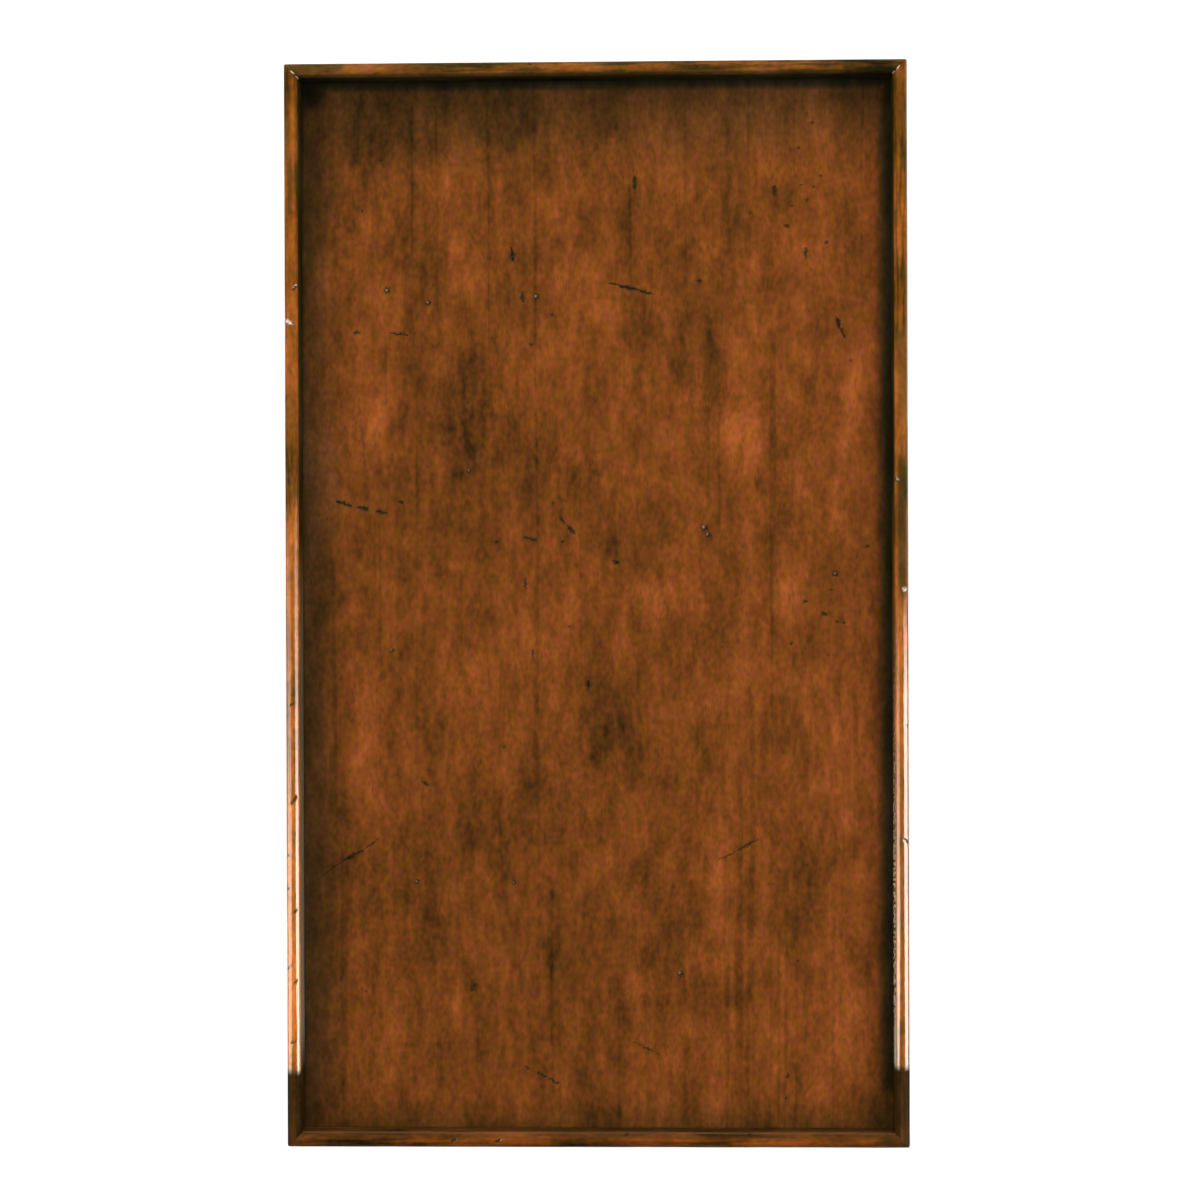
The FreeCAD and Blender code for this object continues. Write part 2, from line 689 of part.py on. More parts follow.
# The whole chest
def case():
    """The fixed pieces, each cut to take the pieces that enter it."""
    front_y = (FACE_Y, DIVIDER_BACK_Y)
    front_tenon = (FACE_Y, -INNER_Y)
    top_z = (TOP_RAIL_Z, TRAY_Z)
    back_y = (BACK_RAIL_Y - RAIL, BACK_RAIL_Y)

    panels = {name: raised_panel(side) for name, side in SIDES.items()}
    runners = {level: [runner(side, FLOOR[level]) for side in SIDES.values()] for level in FLOOR}
    dividers = {
        "upper": cross_rail(front_y, (FLOOR["upper"] - DIVIDER, FLOOR["upper"]), front_tenon),
        "lower": cross_rail(front_y, (FLOOR["middle"] - DIVIDER, FLOOR["middle"]), front_tenon),
    }
    dust_rail = box((-INNER_X, INNER_X), (RAIL_BACK_Y, DIVIDER_BACK_Y), (APRON_TOP - DIVIDER, APRON_TOP))
    back_rabbets = back_board(CASE_Y)

    back_screws, back_holes = [], []
    for x, z in back_screw_places():
        made, hole = screw(
            PANEL_SCREW_RADIUS,
            PANEL_SCREW_HEAD,
            PANEL_SCREW_HEAD_HEIGHT,
            (x, BACK_FACE_Y, z),
            (0, -BACK_PANEL - PANEL_SCREW_BITE, 0),
        )
        back_screws.append(made)
        back_holes.append(hole)

    parts = {
        "front_top_rail": cross_rail(front_y, top_z, front_tenon),
        "upper_divider": dividers["upper"].cut(runners["upper"]),
        "lower_divider": dividers["lower"].cut(runners["middle"]),
        "front_apron": front_apron(),
        "front_dust_rail": dust_rail.cut(runners["lower"]),
        "back_top_rail": cross_rail(back_y, top_z, back_y).cut(back_holes),
        "back_apron": cross_rail(back_y, (FOOT_TOP, APRON_TOP), back_y).cut(back_holes),
        "back_panel": back_board(BACK_FACE_Y).cut(back_holes),
        "back_panel_screws": Part.makeCompound(back_screws),
        "drawer_stops": Part.makeCompound(
            [drawer_stop(side, FLOOR[level]) for level in FLOOR for side in SIDES.values()]
        ),
        "cove_moulding": cove_moulding(),
    }
    for name, side in SIDES.items():
        parts[f"{name}_side_panel"] = panels[name]
        parts[f"{name}_top_rail"] = side_rail(side, top_z).cut(panels[name])
        parts[f"{name}_apron"] = side_apron(side).cut(panels[name])
    for level, pair in runners.items():
        parts[f"{level}_runners"] = Part.makeCompound(pair)

    framing = [
        parts[name]
        for name in (
            "front_top_rail", "upper_divider", "lower_divider", "front_apron", "back_top_rail", "back_apron",
            "left_side_panel", "left_top_rail", "left_apron",
            "right_side_panel", "right_top_rail", "right_apron",
        )
    ]
    entering = framing + [shape for pair in runners.values() for shape in pair] + [back_rabbets] + back_holes
    glides = []
    for end_name, end in (("front", FRONT), ("back", BACK)):
        for side_name, side in SIDES.items():
            glide, nail_hole = foot_glide(side, end)
            glides.append(glide)
            parts[f"post_{end_name}_{side_name}"] = post(side, end).cut(entering + [nail_hole])
    parts["foot_glides"] = Part.makeCompound(glides)
    return parts


def tray():
    """The tray top, and the kickers and screws that hold it down."""
    panel = tray_panel()
    parts = tray_lips(panel)
    kickers, screws, all_holes = [], [], []
    for side in SIDES.values():
        made, holes, recesses = tray_screws(side)
        kickers.append(kicker(side).cut(holes + recesses))
        screws += made
        all_holes += holes
    parts["tray_panel"] = panel.cut(all_holes)
    parts["kickers"] = Part.makeCompound(kickers)
    parts["tray_screws"] = Part.makeCompound(screws)
    return parts


def chest():
    parts = {**case(), **tray()}
    for level in OPENING:
        parts.update(drawer(level))
    return parts


def main():
    os.makedirs("parts", exist_ok=True)
    for name, shape in chest().items():
        shape.exportStep(f"parts/{name}.step")
        solids = shape.Solids
        sound = all(solid.isValid() and solid.Volume > 0 for solid in solids)
        state = "sound" if sound else "FAULTY"
        print(name, len(solids), "solids", round(shape.Volume / 1000, 2), "cm3", state)


main()
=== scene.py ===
# %% [markdown]
# # A chairside chest with a distressed tray top
# A narrow, deep chest of drawers stands beside a chair, and its top is a tray: a flat board inside four
# raised lips. The CAD model gives every board its place. This lesson gives each surface its finish, and
# makes again the pieces that a cutter and a file have worn in a way that solids don't show.
#
# Everything is in metres, and in the frame of the CAD model. We keep the CAD box.

# %% Load the imported frame
import math
from collections import namedtuple

import bmesh
import bpy
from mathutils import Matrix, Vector, noise


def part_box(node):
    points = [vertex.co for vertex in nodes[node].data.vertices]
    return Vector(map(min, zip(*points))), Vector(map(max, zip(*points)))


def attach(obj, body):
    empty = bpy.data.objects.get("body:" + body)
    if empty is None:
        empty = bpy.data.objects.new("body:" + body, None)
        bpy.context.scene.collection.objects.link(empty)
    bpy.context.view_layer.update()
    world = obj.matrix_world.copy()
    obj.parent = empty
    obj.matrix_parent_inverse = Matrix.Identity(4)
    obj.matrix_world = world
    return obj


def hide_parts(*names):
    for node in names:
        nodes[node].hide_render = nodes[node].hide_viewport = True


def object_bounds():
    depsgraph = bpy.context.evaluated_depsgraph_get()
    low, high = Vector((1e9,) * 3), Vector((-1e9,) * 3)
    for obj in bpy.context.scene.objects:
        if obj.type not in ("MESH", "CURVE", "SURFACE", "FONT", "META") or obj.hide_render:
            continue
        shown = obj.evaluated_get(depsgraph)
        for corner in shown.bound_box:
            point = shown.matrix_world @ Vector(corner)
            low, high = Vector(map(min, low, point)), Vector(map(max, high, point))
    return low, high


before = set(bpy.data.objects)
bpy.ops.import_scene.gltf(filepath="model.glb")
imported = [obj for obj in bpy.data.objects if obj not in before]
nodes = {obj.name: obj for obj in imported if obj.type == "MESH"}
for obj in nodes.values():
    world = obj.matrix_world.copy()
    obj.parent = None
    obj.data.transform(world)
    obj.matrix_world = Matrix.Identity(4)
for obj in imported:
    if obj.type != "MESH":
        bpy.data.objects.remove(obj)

MM = 0.001
cad_low, cad_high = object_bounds()
print("CAD box", [round(v, 4) for v in cad_low], [round(v, 4) for v in cad_high], "in", len(nodes), "nodes")

# %% [markdown]
# ## Camera
# The picture to match looks straight down on the tray. Its four corners are enough to solve for a camera:
# the tray's size is known, so the place, the turn and the lens that put the corners where the picture has
# them can be found by least squares. We only write down the answer. It is about 2 m up, a few centimetres
# off the middle, and a degree off plumb, so the left lip shows more of its inner wall than the right one.

# %% Camera over the tray
lens = bpy.data.cameras.new("overhead lens")
lens.sensor_fit = "HORIZONTAL"
lens.sensor_width = 36.0
lens.lens = 67.141
camera = bpy.data.objects.new("overhead_camera", lens)
camera.location = (0.03268, 0.00778, 1.98720)
camera.rotation_euler = [math.radians(a) for a in (-0.2067, 1.2684, -0.1877)]
bpy.context.collection.objects.link(camera)
bpy.context.scene.camera = camera
print("camera", tuple(round(v, 3) for v in camera.location), "lens", round(lens.lens, 1), "mm")

# %% [markdown]
# ## A small language for nodes
# A node tree is easier to read when each node is one call. `put` makes a node, sets its options, and fills
# its sockets: a socket that is given another node's output gets a link, and any other value is typed in.
# `out` does the same and gives the node's first output. The rest are short words for the commonest nodes,
# and they find their tree by themselves, because a socket's `id_data` is the tree that it is in.
# `shade` turns a colour as the eye reads it, 0 to 255, into the linear numbers that sockets take.

# %% Node helpers
def fill(node, sockets):
    for name, value in sockets.items():
        if isinstance(value, bpy.types.NodeSocket):
            node.id_data.links.new(value, node.inputs[name])
        else:
            node.inputs[name].default_value = value


def put(tree, kind, sockets=None, **options):
    node = tree.nodes.new(kind)
    for option, value in options.items():
        setattr(node, option, value)
    fill(node, sockets or {})
    return node


def out(tree, kind, sockets=None, **options):
    return put(tree, kind, sockets, **options).outputs[0]


def offer(tree, way, kind, *names):
    """Gives a node group named sockets of one kind, for input or output."""
    for name in names:
        tree.interface.new_socket(name, in_out=way, socket_type="NodeSocket" + kind)


def shade(red, green, blue):
    linear = [((c / 255 + 0.055) / 1.055) ** 2.4 if c > 10 else c / 3294.6 for c in (red, green, blue)]
    return (*linear, 1.0)


def calc(operation, first, second=0.0, clamp=False):
    sockets = {0: first, 1: second}
    return out(first.id_data, "ShaderNodeMath", sockets, operation=operation, use_clamp=clamp)


def times(first, second):
    return calc("MULTIPLY", first, second)


def plus(first, second):
    return calc("ADD", first, second)


def less(first, second):
    return calc("SUBTRACT", first, second)


def larger(first, second):
    return calc("MAXIMUM", first, second)


def vector_calc(operation, first, second=(0.0, 0.0, 0.0)):
    node = put(first.id_data, "ShaderNodeVectorMath", {0: first, 1: second}, operation=operation)
    return node.outputs["Value" if operation in ("LENGTH", "DISTANCE") else "Vector"]


def axes_of(vector):
    return put(vector.id_data, "ShaderNodeSeparateXYZ", {0: vector}).outputs


def from_axes(**axes):
    tree = next(iter(axes.values())).id_data
    return out(tree, "ShaderNodeCombineXYZ", axes)


def own_place(tree):
    return put(tree, "ShaderNodeTexCoord").outputs["Object"]


def spread(value, low, high, to_low=0.0, to_high=1.0, kind="SMOOTHSTEP"):
    sockets = {"Value": value, "From Min": low, "From Max": high, "To Min": to_low, "To Max": to_high}
    return out(value.id_data, "ShaderNodeMapRange", sockets, interpolation_type=kind)


def blend_colour(amount, first, second, kind="MIX"):
    sockets = {0: amount, 6: first, 7: second}
    return put(first.id_data, "ShaderNodeMix", sockets, data_type="RGBA", blend_type=kind).outputs[2]


def cloud(vector, across, along, detail=1.0, roughness=0.5, output="Fac"):
    """Noise that is stretched along the grain, with so many waves per metre across and along it."""
    stretched = vector_calc("MULTIPLY", vector, (across, along, across))
    sockets = {"Vector": stretched, "Scale": 1.0, "Detail": detail, "Roughness": roughness}
    return put(vector.id_data, "ShaderNodeTexNoise", sockets).outputs[output]


def ramp(value, *stops):
    node = put(value.id_data, "ShaderNodeValToRGB", {"Fac": value})
    while len(node.color_ramp.elements) < len(stops):
        node.color_ramp.elements.new(0.5)
    for element, (place, colour) in zip(node.color_ramp.elements, stops):
        element.position = place
        element.color = colour
    return node.outputs["Color"]


print("mid brown in linear numbers", [round(v, 3) for v in shade(117, 65, 26)])

# %% [markdown]
# ## Studio
# The picture has a pure white ground and soft light. Large lamps give the light on the wood, and they hide
# from reflections, so that they don't lay a veil over the tray. Two tall strips do the opposite: they only
# show as reflections, and only on the lips, where they draw bright lines along both sides. Where the lines
# begin and end is up to the polish, which comes with the lips.
#
# The floor and the world are white where the camera or a shiny surface sees them. Near the chest the floor
# keeps part of its real light, so that the shadow still falls on it, and further away it fades into the
# white of the walls. Overhead, reflections find a dark ceiling.

# %% Floor and world
FLOOR_REACH = 9.0
FADE = (0.9, 2.4)  # metres from the chest's middle, between which the floor turns white
WORLD_FILL = 0.30
WHITE = (1, 1, 1, 1)


def seen_directly(tree):
    """Whether the camera sees a point, and whether a shiny surface does."""
    path = put(tree, "ShaderNodeLightPath").outputs
    return path["Is Camera Ray"], larger(path["Is Glossy Ray"], path["Is Transmission Ray"])


def glow(tree, kind, strength, colour=WHITE):
    return out(tree, kind, {"Color": colour, "Strength": strength})


def mix(amount, first, second):
    return out(first.id_data, "ShaderNodeMixShader", {0: amount, 1: first, 2: second})


floor_mesh = bpy.data.meshes.new("studio_floor")
edge = FLOOR_REACH
floor_corners = [(-edge, -edge, 0), (edge, -edge, 0), (edge, edge, 0), (-edge, edge, 0)]
floor_mesh.from_pydata(floor_corners, [], [(0, 1, 2, 3)])
floor = bpy.data.objects.new("studio_floor", floor_mesh)
bpy.context.collection.objects.link(floor)
paper = bpy.data.materials.new("pale paper")
paper.use_nodes = True
tree = paper.node_tree
tree.nodes.clear()
by_camera, by_shine = seen_directly(tree)
far = spread(vector_calc("LENGTH", own_place(tree)), *FADE)
sheet = out(tree, "ShaderNodeBsdfDiffuse", {"Color": (0.30, 0.30, 0.30, 1)})
close = out(tree, "ShaderNodeAddShader", {0: glow(tree, "ShaderNodeEmission", 0.80), 1: sheet})
bright = mix(far, close, glow(tree, "ShaderNodeEmission", 1.0))
plain = out(tree, "ShaderNodeBsdfDiffuse", {"Color": (0.78, 0.78, 0.77, 1)})
put(tree, "ShaderNodeOutputMaterial", {"Surface": mix(larger(by_camera, by_shine), plain, bright)})
floor_mesh.materials.append(paper)

world = bpy.data.worlds.new("studio walls")
bpy.context.scene.world = world
world.use_nodes = True
tree = world.node_tree
tree.nodes.clear()
by_camera, by_shine = seen_directly(tree)
height = axes_of(put(tree, "ShaderNodeTexCoord").outputs["Generated"])["Z"]
low_walls = spread(height, -0.02, 0.05, 1.0, 0.0)
ceiling = larger(low_walls, spread(height, 0.05, 0.5, 0.22, 0.015))
soft_fill = glow(tree, "ShaderNodeBackground", WORLD_FILL, (0.97, 0.98, 1.0, 1))
shiny = mix(by_shine, soft_fill, glow(tree, "ShaderNodeBackground", ceiling))
seen = mix(by_camera, shiny, glow(tree, "ShaderNodeBackground", 1.0))
put(tree, "ShaderNodeOutputWorld", {"Surface": seen})
bpy.context.scene.view_settings.view_transform = "Standard"
print("floor", 2 * FLOOR_REACH, "m wide, world fill", WORLD_FILL)

# %% Lamps
TRAY_MIDDLE = Vector((0, 0, 0.604))
STRIP_Y, STRIP_Z = -0.24, 1.83


def softbox(name, place, size, power, aim=TRAY_MIDDLE, shine=False, colour=(1, 1, 1)):
    lamp = bpy.data.lights.new(name, "AREA")
    lamp.shape = "RECTANGLE"
    lamp.size, lamp.size_y = size
    lamp.energy = power
    lamp.color = colour
    holder = bpy.data.objects.new(name, lamp)
    holder.location = place
    holder.rotation_euler = (Vector(aim) - Vector(place)).to_track_quat("-Z", "Y").to_euler()
    holder.visible_camera = False
    holder.visible_diffuse = not shine
    holder.visible_glossy = shine
    holder.visible_transmission = shine
    bpy.context.collection.objects.link(holder)
    return holder


softbox("soft_left", (-1.7, 0.2, 1.9), (1.2, 1.6), 24.0)
softbox("soft_right", (1.7, 0.2, 1.9), (1.2, 1.6), 24.0)
softbox("soft_back", (0.0, 1.9, 1.75), (1.6, 0.9), 26.0)
softbox("soft_front", (0.0, -2.2, 0.33), (2.0, 0.5), 18.0, (0, 0, 0.33))
lips_only = bpy.data.collections.new("lips only")
for name, side, power in (("strip_left", -1, 66.0), ("strip_right", 1, 108.0)):
    place, aim = (side * 1.05, STRIP_Y, STRIP_Z), (0, STRIP_Y, STRIP_Z)
    strip = softbox(name, place, (0.80, 2.4), power, aim, shine=True, colour=(1.0, 0.93, 0.84))
    strip.light_linking.receiver_collection = lips_only

# %% [markdown]
# ## The aged cherry finish
# The tray is a cherry board, stained, rubbed with a dark glaze and distressed. Looked at closely, it is made
# of layers, and each one is a stretched noise at its own scale: short fibres about a millimetre wide, longer
# streaks, blotches where the stain took more or less, and a slow change of tone. A second noise turns the
# colour from reddish to olive, because old glaze is green beside red wood.
#
# A picture of wood would do for one view of one board. A node group in metres gives every board of the chest
# its own grain, along its own length, at one scale. It takes two painted amounts from the board: `Stain`,
# lighter or darker than the rest, and `Glaze`, the dark that stays in dents and corners.

# %% Aged cherry group
RED = (  # the tone, and the reddish colour that it has
    (0.06, 40, 22, 8), (0.20, 62, 34, 10), (0.36, 94, 50, 16),
    (0.50, 118, 61, 22), (0.64, 140, 72, 31), (0.80, 167, 86, 43),
)
OLIVE = (
    (0.06, 38, 24, 6), (0.20, 60, 36, 8), (0.36, 92, 53, 11),
    (0.50, 116, 64, 15), (0.64, 138, 75, 23), (0.80, 165, 89, 34),
)
FILM = (  # the glaze, and how much of red, green and blue it lets through
    (0.0, WHITE), (0.20, (0.58, 0.73, 0.90, 1)), (0.36, (0.37, 0.59, 0.90, 1)),
    (0.62, (0.18, 0.385, 0.80, 1)), (1.0, (0.048, 0.20, 0.62, 1)),
)
LAYERS = (  # waves per metre across and along the grain, and how much they change the tone
    (420, 270, 0.22), (260, 140, 0.16), (190, 58, 0.21), (115, 50, 0.22),
    (60, 17, 0.24), (30, 8, 0.25), (13, 5, 0.16),
)
GRAIN = {"x": (0, 0, math.pi / 2), "y": (0, 0, 0), "z": (-math.pi / 2, 0, 0)}


def toned(tone, stops):
    return ramp(tone, *((place, shade(*colour)) for place, *colour in stops))


def aged_cherry():
    tree = bpy.data.node_groups.new("aged cherry", "ShaderNodeTree")
    offer(tree, "INPUT", "Vector", "Vector")
    offer(tree, "INPUT", "Float", "Stain", "Glaze")
    offer(tree, "OUTPUT", "Color", "Color")
    offer(tree, "OUTPUT", "Float", "Roughness", "Height")
    given = put(tree, "NodeGroupInput").outputs
    sway = vector_calc("SUBTRACT", cloud(given["Vector"], 14, 5, output="Color"), (0.5, 0.5, 0.5))
    sway = vector_calc("MULTIPLY", sway, (0.006, 0.0, 0.006))
    grain = vector_calc("ADD", given["Vector"], sway)
    lines = spread(cloud(grain, 200, 2.4), 0.60, 0.76, 0.0, -0.09)
    tone = plus(times(given["Stain"], 0.23), lines)
    for across, along, weight in LAYERS:
        layer = cloud(grain, across, along, 0.0)
        tone = plus(tone, times(less(layer, 0.5), weight))
    tone = plus(tone, 0.5)
    turn = spread(cloud(grain, 240, 110), 0.36, 0.64)
    colour = blend_colour(turn, toned(tone, OLIVE), toned(tone, RED))
    pores = spread(cloud(grain, 1200, 240, 0.0), 0.66, 0.76)
    colour = blend_colour(times(pores, 0.30), colour, shade(60, 38, 14))
    colour = blend_colour(1.0, colour, ramp(given["Glaze"], *FILM), "MULTIPLY")
    rough = spread(tone, 0.3, 0.7, 0.46, 0.38)
    height = less(times(tone, 0.4), pores)
    put(tree, "NodeGroupOutput", {"Color": colour, "Roughness": rough, "Height": height})
    return tree


AGED_CHERRY = aged_cherry()


def cherry(vector, glaze, stain=0.0):
    """The group in a board's own tree: its outputs are the colour, the roughness and the height."""
    sockets = {"Vector": vector, "Stain": stain, "Glaze": glaze}
    return put(vector.id_data, "ShaderNodeGroup", sockets, node_tree=AGED_CHERRY).outputs


def along_grain(place, grain, shift):
    sockets = {"Vector": place, "Location": shift, "Rotation": GRAIN[grain]}
    return out(place.id_data, "ShaderNodeMapping", sockets)


print("aged cherry group", len(AGED_CHERRY.nodes), "nodes")

# %% [markdown]
# ## Tray board
# The board is 18 mm thick and fills the space inside the lips. A maker distresses such a top by hand: a
# chain, a punch and a file leave dents, holes and scratches, then dark glaze is rubbed in and wiped off, and
# more of it stays near the lips. We want the dents as real hollows, and each one where the picture has it.
#
# A grid fine enough for a half millimetre scratch would need a million faces. So the grid starts at 4 mm,
# and each cell that a mark touches is cut in four, and again, down to half a millimetre. A large cell beside
# small ones takes their corners into its outline, so no crack opens between them.

# %% Marks on the board, in millimetres from its middle
GOUGES = [  # from x, y to x, y, then width, depth, how dark its glaze is, and how it tapers
    (-52.3, 220.8, -51.2, 213.6, 3.9, 0.6, 1.0, -0.75), (7.4, 198.8, 14.2, 197.5, 1.5, 0.3, 0.8, -0.6),
    (14.8, 196.9, 26.6, 194.3, 2.5, 0.5, 1.0, -0.3), (27.8, 193.7, 34.6, 191.8, 2.5, 0.4, 1.0, 0.5),
    (148.7, 175.7, 150.5, 169.5, 3.7, 0.6, 1.0, 0.55), (151.2, 169.5, 153.6, 164.0, 1.5, 0.3, 0.9, 0.0),
    (-45.3, 193.6, -45.3, 187.4, 2.5, 0.4, 0.8, 0.0), (24.3, 264.2, 24.3, 256.8, 2.5, 0.4, 0.8, 0.0),
    (110.7, 258.0, 110.7, 251.8, 2.5, 0.3, 0.7, 0.0), (129.7, 219.6, 129.7, 213.5, 2.2, 0.3, 0.7, 0.0),
    (-5.2, -47.2, -5.0, -52.0, 3.0, 0.25, 0.72, 0.0), (-150.3, 168.8, -146.5, 168.8, 1.9, 0.3, 0.8, 0.0),
    (-127.3, 168.6, -116.1, 167.3, 1.9, 0.4, 0.8, 0.6), (116.2, 233.9, 119.9, 232.7, 1.5, 0.3, 0.7, 0.0),
    (61.8, 199.7, 65.5, 199.7, 1.5, 0.3, 0.7, 0.0), (-161.2, 64.6, -151.9, 61.5, 2.5, 0.5, 1.0, 0.3),
    (-148.2, 60.9, -141.4, 59.6, 2.2, 0.4, 0.9, 0.0), (-136.4, 58.3, -130.2, 57.1, 1.9, 0.4, 0.9, 0.0),
    (-122.1, 63.9, -119.6, 63.9, 1.5, 0.3, 0.7, 0.0), (-45.2, 41.9, -37.1, 40.0, 1.5, 0.3, 0.8, 0.0),
    (-22.8, 53.6, -19.7, 50.4, 1.5, 0.3, 0.8, 0.0), (-18.5, 49.2, -13.5, 44.2, 1.9, 0.4, 0.9, 0.0),
    (-44.0, 16.5, -44.0, 9.7, 1.2, 0.3, 0.7, 0.0), (-39.8, -27.5, -39.8, -33.7, 1.2, 0.3, 0.8, 0.0),
    (127.9, 2.3, 130.4, 1.1, 1.9, 0.3, 0.7, 0.0), (138.4, -5.1, 141.4, -6.4, 1.9, 0.3, 0.7, 0.0),
    (9.9, 26.8, 13.6, 25.6, 1.9, 0.4, 0.9, 0.0), (-174.6, -170.7, -159.6, -159.5, 1.2, 0.25, 0.7, 0.0),
    (-157.7, -158.3, -145.9, -152.1, 1.9, 0.3, 0.8, 0.0),
    (-144.0, -150.8, -135.3, -144.6, 1.2, 0.25, 0.6, 0.0),
    (-107.2, -109.9, -104.7, -111.1, 1.9, 0.3, 0.8, 0.0), (74.3, -158.4, 85.5, -152.9, 1.0, 0.2, 0.6, 0.0),
    (86.1, -152.2, 99.7, -144.8, 1.1, 0.2, 0.7, 0.0), (-45.7, -286.2, -42.6, -287.4, 1.5, 0.3, 0.8, 0.0),
    (-37.6, -289.3, -32.0, -292.4, 1.5, 0.3, 0.8, 0.0), (-30.8, -293.0, -24.6, -296.7, 1.5, 0.3, 0.8, 0.0),
    (21.4, -270.0, 38.7, -278.7, 0.9, 0.15, 0.5, 0.0), (117.2, -290.3, 117.2, -293.4, 1.9, 0.3, 0.7, 0.0),
    (-78.4, -238.4, -75.4, -234.8, 4.6, 0.25, 0.52, 0.0),
]
HOLES = [  # x, y and radius
    (-129.0, 194.7, 1.5), (-103.6, 187.1, 1.4), (-36.6, 190.4, 1.5), (66.9, 47.0, 1.9), (69.1, 42.7, 1.5),
    (51.2, -228.4, 1.5), (-111.7, -171.4, 1.1), (-78.5, 82.9, 1.1), (-126.8, -27.9, 1.1),
    (147.7, 18.3, 1.4), (-51.5, -172.0, 1.0),
]
SPOTS = [  # x and y
    (133.6, 296.1), (126.8, 257.9), (125.6, 280.7), (134.8, 256.6), (139.1, 263.4), (130.4, 248.6),
    (121.2, 245.0), (95.3, 240.8), (142.1, 222.6), (-26.7, 178.6), (-39.8, 160.7), (-132.5, 275.2),
    (-144.4, 243.7), (156.7, 149.8), (-61.9, 38.8), (-21.0, 38.7), (-27.1, 62.9), (-16.8, -14.0),
    (123.6, -220.3), (115.9, -305.2), (148.2, -11.4), (152.5, -12.0), (144.6, 8.4), (167.4, 35.5),
    (119.8, -24.9), (76.6, -26.6), (-143.7, -239.7), (-58.0, -88.3),
]
GRAIN_LINES = [  # from x, y to x, y
    (-113.8, 278.8, -113.5, 203.3), (-147.9, 138.4, -137.8, 25.5), (69.7, 144.7, 69.4, 58.1),
    (62.2, -74.8, 62.2, -94.6), (-130.3, 168.3, -130.3, 123.1), (48.6, 269.8, 51.7, 214.1),
    (54.2, 256.2, 56.0, 211.6), (62.8, 262.4, 65.3, 169.5),
]
